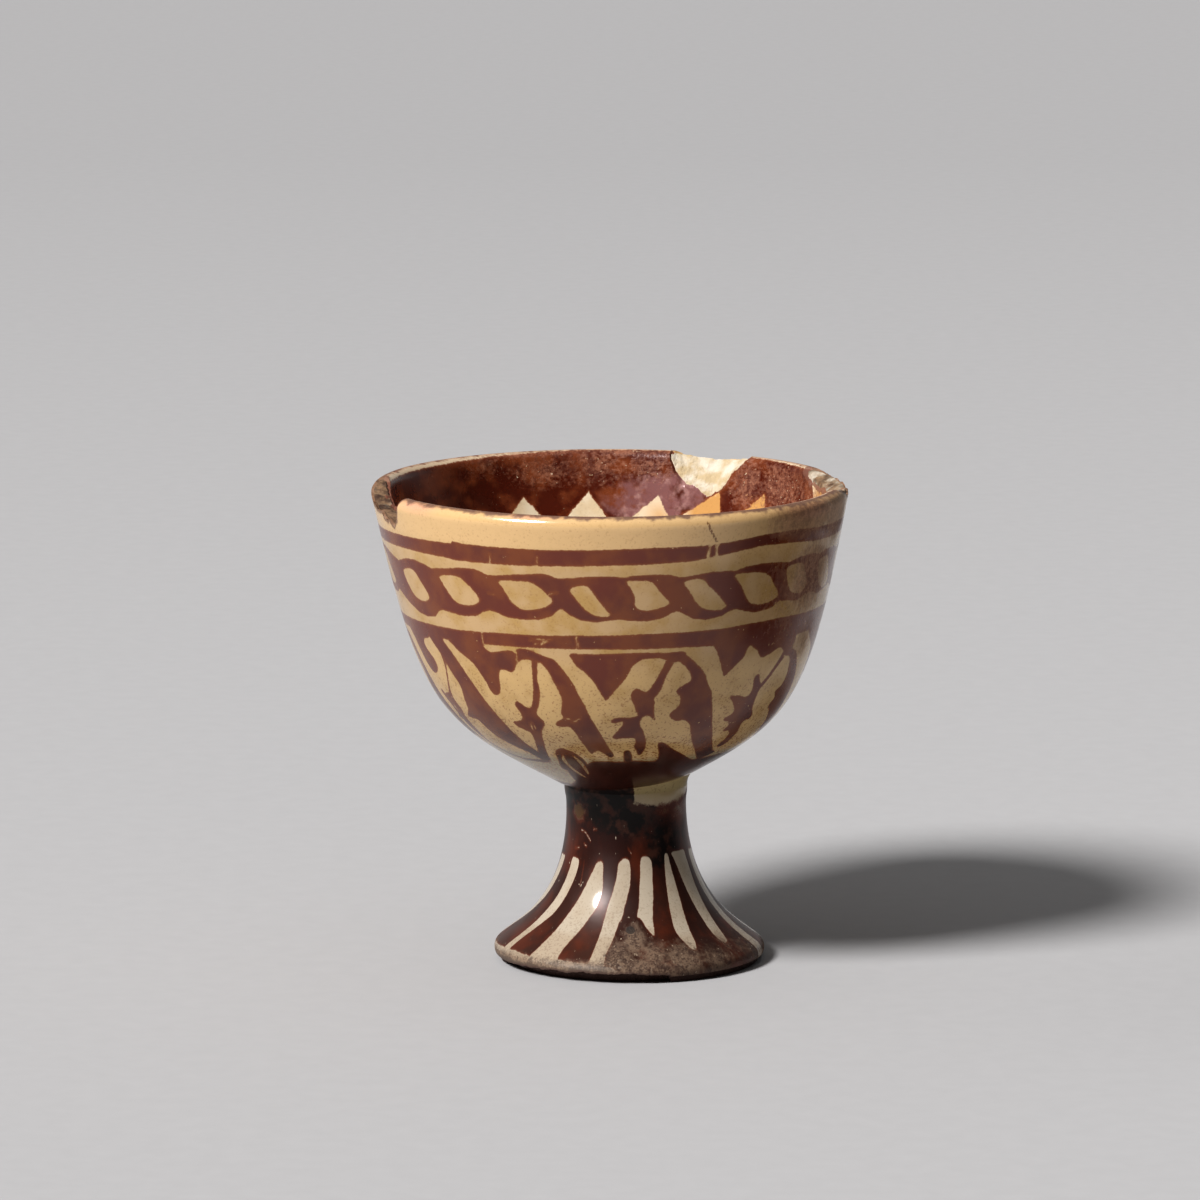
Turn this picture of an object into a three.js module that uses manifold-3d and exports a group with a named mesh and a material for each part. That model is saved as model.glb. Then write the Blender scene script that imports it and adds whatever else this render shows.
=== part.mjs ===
// A small footed drinking cup of glazed stonepaste. A thrown bowl is luted with slip onto a thrown
// trumpet foot, a little off centre and leaning, as the hand-made cup does. Opaque glaze coats the
// bowl inside and out and the foot outside. The rim and the foot's edge are chipped down to the paste.
// Millimetres, +Z up. The cup stands on z = 0 and the rim's centre is above the origin.
import * as THREE from "three";
import { mergeVertices } from "three/addons/utils/BufferGeometryUtils.js";
import Module from "manifold-3d";

const wasm = await Module();
wasm.setup();

// Overall sizes, measured over the glaze
const cupHeight = 75.2;
const rimRadius = 37.0;
const footRadius = 21.15;
const glazeThickness = 0.4;

// Bowl: wall and floor include both coats of glaze
const rimWall = 3.0;
const floorThickness = 6.0;
const seatRadius = 9.2; // flat underneath that stands on the slip
const rimFlare = 11.2; // degrees that the side leans out from upright at the rim
const undersideRise = 29.3; // degrees that the underside climbs from the seat
const bellyFullness = 0.743; // how far the underside's curve pulls outwards, as a share of its reach
const sideFullness = 0.785; // how far the side's curve pulls down, as a share of the bowl's height
const innerBellyFullness = 0.66;
const innerSideFullness = 0.78;

// Foot: a slim stem that opens downwards like a trumpet over a hollow
const stemHeight = 27.6;
const stemTopRadius = 9.6;
const waistRadius = 9.35;
const waistHeight = 24.6;
const stemFullness = 0.765; // share of the drop from waist to edge that stays slim
const edgeFullness = 0.245;
const edgeRadius = 1.5; // rounding of the foot's rim
const edgeHeight = 1.75; // centre of that rounding above the table
const edgeSlope = 56.9; // degrees below level at which the trumpet meets the rounding
const glazeEndAngle = -25; // degrees round the rim's rounding where the glaze stops
const baseRadius = 20.1; // outside of the flat ring that it stands on
const hollowRadius = 16.4; // inside of that ring
const hollowHeight = 17.0;
const hollowSlope = 55; // degrees that the hollow's wall climbs from the ring
const hollowFullness = 0.5;
const crownFullness = 0.37;

// Joint between bowl and foot
const slipThickness = 0.6;
const filletRise = 2.6; // height of the slip's fillet above the stem
const filletSpread = 1.3; // how far that fillet spreads past the stem
const bowlShift = -1.45; // bowl's axis against the stem's axis, along X
const lean = -0.0225; // sideways drift of every level ring, along X, for each millimetre of height

// Chips, each an ellipsoid bite. angle is round from +X, degrees. width runs along the edge, depth down
// the wall and bite into it.
const flakeMargin = 0.5; // glaze broken back past the edge of a bite
const backChip = { angle: 63, width: 12.5, depth: 7.0, bite: 2.8 };
const leftChip = { angle: 193, width: 16.0, depth: 3.6, bite: 1.9 };
const rightChip = { angle: 17, width: 14.0, depth: 2.6, bite: 1.5 };
const footChip = { angle: 252, width: 26.0, depth: 1.35, bite: 1.7 };

// Facets
const turns = 48;
const curveSteps = 10;
const lipSteps = 3;
const chipDetail = 2;

const radians = THREE.MathUtils.degToRad;
const lipRadius = rimWall / 2;
const lipCentre = new THREE.Vector2(rimRadius - lipRadius, cupHeight - lipRadius);
const seatHeight = stemHeight + slipThickness;
const stemAxis = -bowlShift - lean * cupHeight; // X of the stem's axis on the table

// Materials
const paste = new THREE.MeshStandardMaterial({ color: 0xcdb48c, roughness: 0.9, metalness: 0 });
const creamGlaze = new THREE.MeshStandardMaterial({ color: 0xe0c193, roughness: 0.2, metalness: 0 });
const lustreGlaze = new THREE.MeshStandardMaterial({ color: 0x6a3a2c, roughness: 0.2, metalness: 0.2 });
const slipGlaze = new THREE.MeshStandardMaterial({ color: 0xa8926c, roughness: 0.4, metalness: 0 });

// A face is a run of points on a profile, each with its outward normal.
function arcFace(centre, radius, from, to, steps) {
  return Array.from({ length: steps + 1 }, (_, i) => {
    const angle = radians(from + ((to - from) * i) / steps);
    const normal = new THREE.Vector2(Math.cos(angle), Math.sin(angle));
    return { point: centre.clone().addScaledVector(normal, radius), normal };
  });
}

// side is 1 where the outside lies to the right of the curve's direction, and -1 where it lies to the left.
function curveFace(start, startHandle, endHandle, end, side) {
  const curve = new THREE.CubicBezierCurve(start, startHandle, endHandle, end);
  return Array.from({ length: curveSteps + 1 }, (_, i) => {
    const tangent = curve.getTangent(i / curveSteps);
    const normal = new THREE.Vector2(tangent.y, -tangent.x).multiplyScalar(side);
    return { point: curve.getPoint(i / curveSteps), normal };
  });
}

const onSurface = (face) => face.map(({ point }) => point);
const underGlaze = (face) => face.map(({ point, normal }) => point.clone().addScaledVector(normal, -glazeThickness));
const at = (radius, height) => new THREE.Vector2(radius, height);
const towards = (angle, length) => at(Math.cos(radians(angle)) * length, Math.sin(radians(angle)) * length);

// Outside of the bowl, from the seat up to the middle of the lip
function bowlOutside() {
  const seatEdge = at(seatRadius, seatHeight);
  const lip = arcFace(lipCentre, lipRadius, -rimFlare, 90, lipSteps);
  const sideTop = lip[0].point;
  const belly = towards(undersideRise, bellyFullness * (sideTop.x - seatRadius));
  const side = towards(90 - rimFlare, sideFullness * (sideTop.y - seatHeight));
  const wall = curveFace(seatEdge, seatEdge.clone().add(belly), sideTop.clone().sub(side), sideTop, 1);
  return [...wall, ...lip.slice(1)];
}

// Inside of the bowl, from the middle of the lip down to the middle of the floor
function bowlInside() {
  const lip = arcFace(lipCentre, lipRadius, 90, 180 - rimFlare, lipSteps);
  const sideTop = lip[lipSteps].point;
  const floor = at(0, seatHeight + floorThickness);
  const side = towards(90 - rimFlare, innerSideFullness * (sideTop.y - floor.y));
  const belly = at(innerBellyFullness * sideTop.x, 0);
  const wall = curveFace(sideTop, sideTop.clone().sub(side), floor.clone().add(belly), floor, 1);
  return [...lip.slice(0, -1), ...wall];
}

// Outside of the foot under its glaze coat, from the stem's top down to the glaze's end
function footOutside() {
  const top = at(stemTopRadius, stemHeight);
  const waist = at(waistRadius, waistHeight);
  const neck = at(0, (stemHeight - waistHeight) / 2);
  const edgeCentre = at(footRadius - edgeRadius, edgeHeight);
  const edge = arcFace(edgeCentre, edgeRadius, 90 - edgeSlope, glazeEndAngle, lipSteps);
  const flareEnd = edge[0].point;
  const drop = at(0, -stemFullness * (waistHeight - flareEnd.y));
  const flare = towards(180 - edgeSlope, edgeFullness * (flareEnd.x - waistRadius));
  const upper = curveFace(top, top.clone().sub(neck), waist.clone().add(neck), waist, -1);
  const trumpet = curveFace(waist, waist.clone().add(drop), flareEnd.clone().add(flare), flareEnd, -1);
  return [...upper.filter((_, i) => i % 5 === 0), ...trumpet.slice(1), ...edge.slice(1)];
}

// Hollow under the foot, from the standing ring up to the axis
function footHollow() {
  const ring = at(hollowRadius, 0);
  const crown = at(0, hollowHeight);
  const rise = towards(180 - hollowSlope, hollowFullness * hollowHeight);
  const spread = at(crownFullness * hollowRadius, 0);
  return curveFace(ring, ring.clone().add(rise), crown.clone().add(spread), crown, 1);
}

// Turns a profile of (radius, height) points about the Z axis.
function turned(profile) {
  return new THREE.LatheGeometry(profile, turns).rotateX(Math.PI / 2);
}

// Sets a turned piece on its axis and lets it lean: level rings stay level and slide along X.
function placed(geometry, axisX) {
  const slide = new THREE.Matrix4().makeShear(0, 0, 0, 0, lean, 0);
  return geometry.applyMatrix4(slide).translate(axisX, 0, 0);
}

function solidOf(geometry) {
  const bare = new THREE.BufferGeometry().setAttribute("position", geometry.getAttribute("position"));
  const merged = mergeVertices(bare.setIndex(geometry.index));
  const corners = Array.from(merged.index.array);
  const whole = [];
  for (let i = 0; i < corners.length; i += 3) {
    const face = corners.slice(i, i + 3);
    if (new Set(face).size === 3) whole.push(...face);
  }
  const vertProperties = merged.getAttribute("position").array;
  return new wasm.Manifold(new wasm.Mesh({ numProp: 3, vertProperties, triVerts: new Uint32Array(whole) }));
}

function geometryOf(solid) {
  const { vertProperties, triVerts } = solid.getMesh();
  return new THREE.BufferGeometry()
    .setAttribute("position", new THREE.BufferAttribute(vertProperties, 3))
    .setIndex(new THREE.BufferAttribute(triVerts, 1));
}

// The bite that a chip takes: an ellipsoid centred on the edge, at the given radius and height.
function bite(chip, axisX, radius, height, margin) {
  const angle = radians(chip.angle);
  const ball = new THREE.IcosahedronGeometry(1, chipDetail);
  ball.scale(chip.bite + margin, chip.width / 2 + margin, chip.depth + margin);
  ball.rotateZ(angle);
  const leanAtHeight = axisX + lean * height;
  ball.translate(leanAtHeight + radius * Math.cos(angle), radius * Math.sin(angle), height);
  return solidOf(ball);
}

function bittenBy(solid, cutters) {
  return cutters.reduce((left, cutter) => left.subtract(cutter), solid);
}

const bowlAxis = stemAxis + bowlShift;
const outside = bowlOutside();
const inside = bowlInside();
const footFace = footOutside();

// The back and right bites open on the inside of the rim, the left one on its outside.
const rimBites = (margin) => [
  bite(backChip, bowlAxis, rimRadius - rimWall, cupHeight, margin),
  bite(leftChip, bowlAxis, rimRadius, cupHeight, margin),
  bite(rightChip, bowlAxis, rimRadius - rimWall / 2, cupHeight, margin),
];
const footBites = (margin) => [bite(footChip, stemAxis, footRadius, 0, margin)];

function bowlBody() {
  const profile = [
    at(0, seatHeight),
    outside[0].point,
    ...underGlaze(outside),
    ...underGlaze(inside).slice(1),
  ];
  return bittenBy(solidOf(placed(turned(profile), bowlAxis)), rimBites(0));
}

function bowlOuterGlaze() {
  const profile = [...onSurface(outside), ...underGlaze(outside).reverse(), outside[0].point];
  return bittenBy(solidOf(placed(turned(profile), bowlAxis)), rimBites(flakeMargin));
}

function bowlInnerGlaze() {
  const profile = [...underGlaze(inside).reverse(), ...onSurface(inside)];
  return bittenBy(solidOf(placed(turned(profile), bowlAxis)), rimBites(flakeMargin));
}

function footBody() {
  const edgeCentre = at(footRadius - edgeRadius, edgeHeight);
  const bareEdge = arcFace(edgeCentre, edgeRadius - glazeThickness, glazeEndAngle, -60, 2);
  const outer = [...underGlaze(footFace), ...onSurface(bareEdge).slice(1), at(baseRadius, 0)];
  const profile = [at(0, stemHeight), ...outer, ...onSurface(footHollow())];
  return bittenBy(solidOf(placed(turned(profile.reverse()), stemAxis)), footBites(0));
}

function footGlaze() {
  const profile = [...onSurface(footFace), ...underGlaze(footFace).reverse(), footFace[0].point];
  return bittenBy(solidOf(placed(turned(profile.reverse()), stemAxis)), footBites(flakeMargin));
}

// Slip fills the joint and makes a fillet wherever the stem stands out past the bowl's seat.
function jointSlip() {
  const foot = at(stemTopRadius, stemHeight);
  const brim = at(stemTopRadius + filletSpread, stemHeight + filletRise);
  const fillet = new THREE.QuadraticBezierCurve(foot, at(stemTopRadius, stemHeight + filletRise / 2), brim);
  const collar = [at(0, stemHeight), ...fillet.getPoints(4), at(0, brim.y)];
  const filledBowl = [at(0, seatHeight), ...onSurface(outside), at(0, cupHeight)];
  const bowl = solidOf(placed(turned(filledBowl), bowlAxis));
  return solidOf(placed(turned(collar), stemAxis)).subtract(bowl);
}

const cup = new THREE.Group();
function add(name, solid, material) {
  const piece = new THREE.Mesh(geometryOf(solid), material);
  piece.name = name;
  cup.add(piece);
}

add("bowl_body", bowlBody(), paste);
add("bowl_outer_glaze", bowlOuterGlaze(), creamGlaze);
add("bowl_inner_glaze", bowlInnerGlaze(), lustreGlaze);
add("joint_slip", jointSlip(), slipGlaze);
add("foot_body", footBody(), paste);
add("foot_glaze", footGlaze(), lustreGlaze);

export default cup;
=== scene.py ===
import math
from functools import partial

import bmesh
import bpy
import numpy as np
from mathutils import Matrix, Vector, noise


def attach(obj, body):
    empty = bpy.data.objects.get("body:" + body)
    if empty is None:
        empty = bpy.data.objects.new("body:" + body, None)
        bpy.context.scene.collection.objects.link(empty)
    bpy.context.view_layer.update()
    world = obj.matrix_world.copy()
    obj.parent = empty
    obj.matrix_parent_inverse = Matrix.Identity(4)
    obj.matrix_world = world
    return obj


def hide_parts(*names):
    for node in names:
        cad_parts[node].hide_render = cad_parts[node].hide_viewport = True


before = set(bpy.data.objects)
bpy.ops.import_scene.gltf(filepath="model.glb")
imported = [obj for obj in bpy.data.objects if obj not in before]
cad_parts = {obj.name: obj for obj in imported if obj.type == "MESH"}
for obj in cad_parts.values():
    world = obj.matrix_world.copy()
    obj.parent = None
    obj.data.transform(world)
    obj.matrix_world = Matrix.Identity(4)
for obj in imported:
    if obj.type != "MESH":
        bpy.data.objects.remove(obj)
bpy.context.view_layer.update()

mm = 0.001
scene = bpy.context.scene
print("frame loaded:", ", ".join(sorted(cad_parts)))


# Small tools

def linear(hexColour):  # sRGB hex to the linear colour that sockets take
    parts = [int(hexColour[i:i + 2], 16) / 255 for i in (1, 3, 5)]
    return tuple(c / 12.92 if c <= 0.04045 else ((c + 0.055) / 1.055) ** 2.4 for c in parts) + (1.0,)


def feed(tree, node, feeds):  # values and links, by socket or in the order of the sockets shown
    if not isinstance(feeds, dict):
        feeds = dict(zip([i for i, socket in enumerate(node.inputs) if socket.enabled], feeds))
    for key, value in feeds.items():
        if isinstance(value, bpy.types.Node):  # a node stands for the first output that it shows
            value = next(socket for socket in value.outputs if socket.enabled)
        if isinstance(value, bpy.types.NodeSocket):
            tree.links.new(value, node.inputs[key])
        else:
            node.inputs[key].default_value = linear(value) if isinstance(value, str) else value


def addNode(tree, kind, settings=(), feeds=()):  # one node with its settings and links
    node = tree.nodes.new(kind)
    if isinstance(settings, str):  # a bare word is an operation
        settings = {"operation": settings}
    for name, value in dict(settings).items():
        setattr(node, name, value)
    feed(tree, node, feeds)
    return node


mathKind = "ShaderNodeMath"
mixKind = "ShaderNodeMix"
rangeKind = "ShaderNodeMapRange"
noiseKind = "ShaderNodeTexNoise"
inColour = {"data_type": "RGBA"}
soft = {"interpolation_type": "SMOOTHSTEP"}


def newMaterial(name):
    material = bpy.data.materials.new(name)
    material.use_nodes = True
    return material, material.node_tree, material.node_tree.nodes["Principled BSDF"]


def newObject(name, mesh):
    piece = bpy.data.objects.new(name, mesh)
    scene.collection.objects.link(piece)
    return piece


def dropObject(piece):
    mesh = piece.data
    bpy.data.objects.remove(piece)
    bpy.data.meshes.remove(mesh)


def settle(piece):  # bakes the modifiers into a plain mesh and takes them off
    evaluated = piece.evaluated_get(bpy.context.evaluated_depsgraph_get())
    plain = bpy.data.meshes.new_from_object(evaluated)
    piece.modifiers.clear()
    old = piece.data
    piece.data = plain
    bpy.data.meshes.remove(old)
    return piece


def faceOut(mesh):  # a closed shape's faces look outward
    shape = bmesh.new()
    shape.from_mesh(mesh)
    if shape.calc_volume(signed=True) < 0:
        bmesh.ops.reverse_faces(shape, faces=shape.faces)
    shape.to_mesh(mesh)
    shape.free()


# Camera and stage

# camera and card in millimetres, stage in metres, turns in degrees
camera = {"across": -1.47, "back": -1131.1, "up": 244.6, "tilt": 9.436, "lens": 221.1, "sensor": 36.0}
stage = {
    "floorHalf": 8.0, "paper": "#b5b4b5", "paperFarShade": "#a8a7a8", "fadeFrom": 0.0, "fadeTo": 1.2,
    "paperGrain": 260.0, "paperMottle": 0.035,
    "keyTurn": -49.0, "keyLift": 42.2, "keySize": 16.0, "keyPower": 4.08, "keyTint": "#fffefd",
    "horizon": 0.03, "zenith": 0.42, "skyFocus": 3.0, "backWall": 0.38, "wallSpread": 0.6, "wallTop": 0.15,
}
card = {  # black card beside the cup, out of the picture
    "across": 108.0, "front": -95.0, "back": 60.0, "top": 260.0, "fade": 70.0, "black": "#0c0c0c",
}


def setCamera():
    lens = bpy.data.cameras.new("camera")
    lens.lens = camera["lens"]
    lens.sensor_width = camera["sensor"]
    lens.clip_end = 50.0
    holder = newObject("camera", lens)
    holder.location = (camera["across"] * mm, camera["back"] * mm, camera["up"] * mm)
    holder.rotation_euler = (math.radians(90 - camera["tilt"]), 0, 0)
    scene.camera = holder
    scene.view_settings.view_transform = "Standard"
    scene.view_settings.look = "Medium High Contrast"


def sweepPaper():  # matt backdrop paper, slightly mottled, with painted shade that darkens it further back
    paper, tree, shader = newMaterial("sweepPaper")
    add = partial(addNode, tree)
    place = add("ShaderNodeTexCoord").outputs["Object"]
    depth = add("ShaderNodeSeparateXYZ", feeds=[place]).outputs["Y"]
    far = add(rangeKind, feeds=[depth, stage["fadeFrom"], stage["fadeTo"]])
    # painted shade: the paper darkens towards the back, where less light falls
    shade = add(mixKind, inColour, [far, stage["paper"], stage["paperFarShade"]])
    fibre = add(noiseKind, feeds=[place, stage["paperGrain"]])
    mottle = add(rangeKind, feeds=[fibre, 0.0, 1.0, 1 - stage["paperMottle"], 1 + stage["paperMottle"]])
    mottled = add("ShaderNodeVectorMath", "SCALE", [shade, mottle])
    feed(tree, shader, {"Base Color": mottled, "Roughness": 0.9})
    return paper


def blackCard():  # matt black card, thin at its ends, that keeps the cup's far side dark
    black, tree, shader = newMaterial("blackCard")
    add = partial(addNode, tree)
    front, back, fade = (card[side] * mm for side in ("front", "back", "fade"))
    depth = add("ShaderNodeSeparateXYZ", feeds=[add("ShaderNodeTexCoord").outputs["Object"]]).outputs["Y"]
    start = add(rangeKind, soft, [depth, front, front + fade])
    stop = add(rangeKind, soft, [depth, back - fade, back, 1.0, 0.0])
    cover = add(mathKind, "MULTIPLY", [start, stop])
    feed(tree, shader, {"Base Color": card["black"], "Roughness": 1.0, "Alpha": cover})
    return black


def sheet(name, corners, material):
    mesh = bpy.data.meshes.new(name)
    mesh.from_pydata(corners, [], [(0, 1, 2, 3)])
    mesh.materials.append(material)
    return newObject(name, mesh)


def layStage():
    half = stage["floorHalf"]
    corners = [(-half, -half, 0), (half, -half, 0), (half, half, 0), (-half, half, 0)]
    floor = sheet("floor", corners, sweepPaper())
    across, front, back, top = (card[side] * mm for side in ("across", "front", "back", "top"))
    corners = [(across, front, 0), (across, back, 0), (across, back, top), (across, front, top)]
    flag = sheet("flag", corners, blackCard())
    flag.visible_camera = False
    flag.visible_shadow = False


def lightStage():
    key = bpy.data.lights.new("key", "SUN")
    key.energy = stage["keyPower"]
    key.angle = math.radians(stage["keySize"])
    key.color = linear(stage["keyTint"])[:3]
    keyObject = newObject("key", key)
    keyObject.rotation_euler = (math.radians(90 - stage["keyLift"]), 0, math.radians(stage["keyTurn"]))

    # soft light that grows towards the zenith, and a pale wall low down behind the cup
    world = bpy.data.worlds.new("studio")
    world.use_nodes = True
    scene.world = world
    sky = world.node_tree
    add = partial(addNode, sky)
    look = add("ShaderNodeSeparateXYZ", feeds=[add("ShaderNodeTexCoord").outputs["Generated"]]).outputs
    above = add(mathKind, "MAXIMUM", [look["Z"], 0.0])
    crowd = add(mathKind, "POWER", [above, stage["skyFocus"]])
    overhead = add(mathKind, "MULTIPLY_ADD", [crowd, stage["zenith"], stage["horizon"]])
    behind = add(rangeKind, soft, [look["Y"], 0.0, stage["wallSpread"], 0.0, stage["backWall"]])
    lowDown = add(rangeKind, soft, [look["Z"], stage["wallTop"], stage["wallSpread"], 1.0, 0.0])
    strength = add(mathKind, "MULTIPLY_ADD", [behind, lowDown, overhead])
    feed(sky, sky.nodes["Background"], {"Color": "#ffffff", "Strength": strength})


setCamera()
layStage()
lightStage()
print("camera, floor and light are set")


# Profiles, in millimetres: (radius, height) points

bowlShape = {
    "height": 75.2, "rimRadius": 37.0, "rimWall": 3.0, "floorThickness": 6.0, "seatRadius": 9.2,
    "rimFlare": 11.2, "undersideRise": 29.3, "belly": 0.743, "side": 0.785,
    "innerBelly": 0.66, "innerSide": 0.78,
}
footShape = {
    "radius": 21.15, "stemHeight": 27.6, "stemTop": 9.6, "waistRadius": 9.35, "waistHeight": 24.6,
    "stem": 0.765, "edgePull": 0.245, "edgeRadius": 1.5, "edgeHeight": 1.75, "edgeSlope": 56.9,
    "glazeEnd": -25.0, "bareEnd": -60.0, "baseRadius": 20.1, "hollowRadius": 16.4, "hollowHeight": 17.0,
    "hollowSlope": 55.0, "hollow": 0.5, "crown": 0.37,
}
jointShape = {"slip": 0.6, "filletRise": 2.6, "filletSpread": 1.3, "bowlShift": -1.45, "lean": -0.0225}
glaze = 0.4
seatHeight = footShape["stemHeight"] + jointShape["slip"]
bowlAxis = -jointShape["lean"] * bowlShape["height"]  # X of the bowl's axis on the table
stemAxis = bowlAxis - jointShape["bowlShift"]
drawn = {"wall": 400, "trumpet": 300, "neck": 60, "round": 40}  # points on a curve before it is spaced out


def towards(angle, length):
    return np.array([math.cos(math.radians(angle)), math.sin(math.radians(angle))]) * length


def bezierRun(start, pullOut, pullIn, end, count):
    t = np.linspace(0, 1, count)[:, None]
    a, d = np.array(start, float), np.array(end, float)
    b, c = a + pullOut, d + pullIn
    return (1 - t) ** 3 * a + 3 * (1 - t) ** 2 * t * b + 3 * (1 - t) * t * t * c + t ** 3 * d


def arcRun(centre, radius, fromAngle, toAngle, count):
    return np.array([np.array(centre) + towards(a, radius) for a in np.linspace(fromAngle, toAngle, count)])


def runLength(run):
    return np.concatenate([[0], np.cumsum(np.hypot(*np.diff(run, axis=0).T))])


def evenly(run, count):  # the same run with its points evenly spaced
    reach = runLength(run)
    wanted = np.linspace(0, reach[-1], count)
    return np.column_stack([np.interp(wanted, reach, run[:, i]) for i in (0, 1)])


def inset(run, depth):  # moves a run to the left of its direction
    along = np.gradient(run, axis=0)
    along /= np.linalg.norm(along, axis=1)[:, None]
    return run + depth * np.column_stack([-along[:, 1], along[:, 0]])


def lipRun(fromAngle, toAngle):
    lip = bowlShape["rimWall"] / 2
    centre = (bowlShape["rimRadius"] - lip, bowlShape["height"] - lip)
    return arcRun(centre, lip, fromAngle, toAngle, drawn["round"])


def bowlOutside(count):  # from the seat up to the middle of the lip
    b = bowlShape
    lip = lipRun(-b["rimFlare"], 90)
    top = lip[0]
    belly = towards(b["undersideRise"], b["belly"] * (top[0] - b["seatRadius"]))
    side = towards(90 - b["rimFlare"], -b["side"] * (top[1] - seatHeight))
    wall = bezierRun((b["seatRadius"], seatHeight), belly, side, top, drawn["wall"])
    return evenly(np.vstack([wall, lip[1:]]), count)


def bowlInside(count):  # from the middle of the lip down to the middle of the floor
    b = bowlShape
    lip = lipRun(90, 180 - b["rimFlare"])
    top = lip[-1]
    floor = np.array([0.0, seatHeight + b["floorThickness"]])
    side = towards(90 - b["rimFlare"], -b["innerSide"] * (top[1] - floor[1]))
    wall = bezierRun(top, side, towards(0, b["innerBelly"] * top[0]), floor, drawn["wall"])
    return evenly(np.vstack([lip[:-1], wall]), count)


def footEdge(radius, fromAngle, toAngle, count):
    f = footShape
    return arcRun((f["radius"] - f["edgeRadius"], f["edgeHeight"]), radius, fromAngle, toAngle, count)


def footOutside(count):  # from the stem's top down to where the glaze ends
    f = footShape
    waist = np.array([f["waistRadius"], f["waistHeight"]])
    neck = np.array([0.0, (f["stemHeight"] - f["waistHeight"]) / 2])
    upper = bezierRun((f["stemTop"], f["stemHeight"]), -neck, neck, waist, drawn["neck"])
    edge = footEdge(f["edgeRadius"], 90 - f["edgeSlope"], f["glazeEnd"], drawn["round"])
    drop = np.array([0.0, -f["stem"] * (waist[1] - edge[0][1])])
    flare = towards(180 - f["edgeSlope"], f["edgePull"] * (edge[0][0] - waist[0]))
    trumpet = bezierRun(waist, drop, flare, edge[0], drawn["trumpet"])
    return evenly(np.vstack([upper, trumpet[1:], edge[1:]]), count)


def footHollow(count):  # from the standing ring up to the axis
    f = footShape
    rise = towards(180 - f["hollowSlope"], f["hollow"] * f["hollowHeight"])
    spread = towards(0, f["crown"] * f["hollowRadius"])
    return bezierRun((f["hollowRadius"], 0), rise, spread, (0, f["hollowHeight"]), count)


# Geometry Nodes: turns a row of profile points about the leaning axis, as clay is thrown on a wheel.
# A little low noise gives the hand-thrown wall its unevenness, the same for paste and glaze.

wheel = {"wobble": 0.16, "wobbleSize": 16.0, "calmWithin": 12.0, "seed": 4.0, "weld": 0.002}  # mm
wheelSizes = {
    "Turns": "Int", "Rows": "Int", "Axis X": "Float", "Lean": "Float", "Wobble": "Float",
    "Wobble Size": "Float", "Seed": "Float", "Finish": "Material",
}


def wheelTree():
    tree = bpy.data.node_groups.new("thrownOnWheel", "GeometryNodeTree")
    tree.interface.new_socket("Profile", in_out="INPUT", socket_type="NodeSocketGeometry")
    for name, kind in wheelSizes.items():
        tree.interface.new_socket(name, in_out="INPUT", socket_type="NodeSocket" + kind)
    tree.interface.new_socket("Piece", in_out="OUTPUT", socket_type="NodeSocketGeometry")
    add = partial(addNode, tree)
    given = add("NodeGroupInput").outputs
    # a sheet with a column for each step round and a row for each profile point
    columns = add(mathKind, "ADD", [given["Turns"], 1])
    flat = add("GeometryNodeMeshGrid", feeds={"Vertices X": columns, "Vertices Y": given["Rows"]})
    index = add("GeometryNodeInputIndex")
    middle = add(mathKind, "ADD", [index, 0.5])
    column = add(mathKind, "FLOOR", [add(mathKind, "DIVIDE", [middle, given["Rows"]])])
    before = add(mathKind, "MULTIPLY", [column, given["Rows"]])
    row = add(mathKind, "ADD", [add(mathKind, "SUBTRACT", [index, before]), 0.25])
    spot = add("GeometryNodeSampleIndex", {"data_type": "FLOAT_VECTOR"}, {
        "Geometry": given["Profile"], "Value": add("GeometryNodeInputPosition"), "Index": row})
    radius, _, height = add("ShaderNodeSeparateXYZ", feeds=[spot]).outputs
    angle = add(mathKind, "MULTIPLY", [add(mathKind, "DIVIDE", [column, given["Turns"]]), 2 * math.pi])
    sine, cosine = add(mathKind, "SINE", [angle]), add(mathKind, "COSINE", [angle])
    # unevenness of the wall, none at the axis
    ring = [add(mathKind, "MULTIPLY", [sine, radius]), add(mathKind, "MULTIPLY", [cosine, radius]), height]
    uneven = add(noiseKind, {"noise_dimensions": "4D"}, {
        "Vector": add("ShaderNodeCombineXYZ", feeds=ring), "W": given["Seed"], "Detail": 1.0,
        "Scale": add(mathKind, "DIVIDE", [1, given["Wobble Size"]])})
    reach = add(mathKind, "MULTIPLY", [given["Wobble"], 2])
    swing = add(mathKind, "MULTIPLY", [add(mathKind, "SUBTRACT", [uneven, 0.5]), reach])
    calm = add(mathKind, "MINIMUM", [add(mathKind, "MULTIPLY", [radius, 1 / (wheel["calmWithin"] * mm)]), 1])
    thrown = add(mathKind, "ADD", [radius, add(mathKind, "MULTIPLY", [swing, calm])])
    # the leaning axis
    drift = add(mathKind, "ADD", [given["Axis X"], add(mathKind, "MULTIPLY", [given["Lean"], height])])
    across = add(mathKind, "ADD", [drift, add(mathKind, "MULTIPLY", [sine, thrown])])
    back = add(mathKind, "MULTIPLY", [cosine, add(mathKind, "MULTIPLY", [thrown, -1])])
    place = add("ShaderNodeCombineXYZ", feeds=[across, back, height])
    turned = add("GeometryNodeSetPosition", feeds={"Geometry": flat, "Position": place})
    closed = add("GeometryNodeMergeByDistance", feeds={"Geometry": turned, "Distance": wheel["weld"] * mm})
    real = add("GeometryNodeRealizeInstances", feeds={0: closed})
    dressed = add("GeometryNodeSetMaterial", feeds={0: real, "Material": given["Finish"]})
    add("NodeGroupOutput", feeds={0: dressed})
    return tree


wheelHead = wheelTree()


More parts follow.
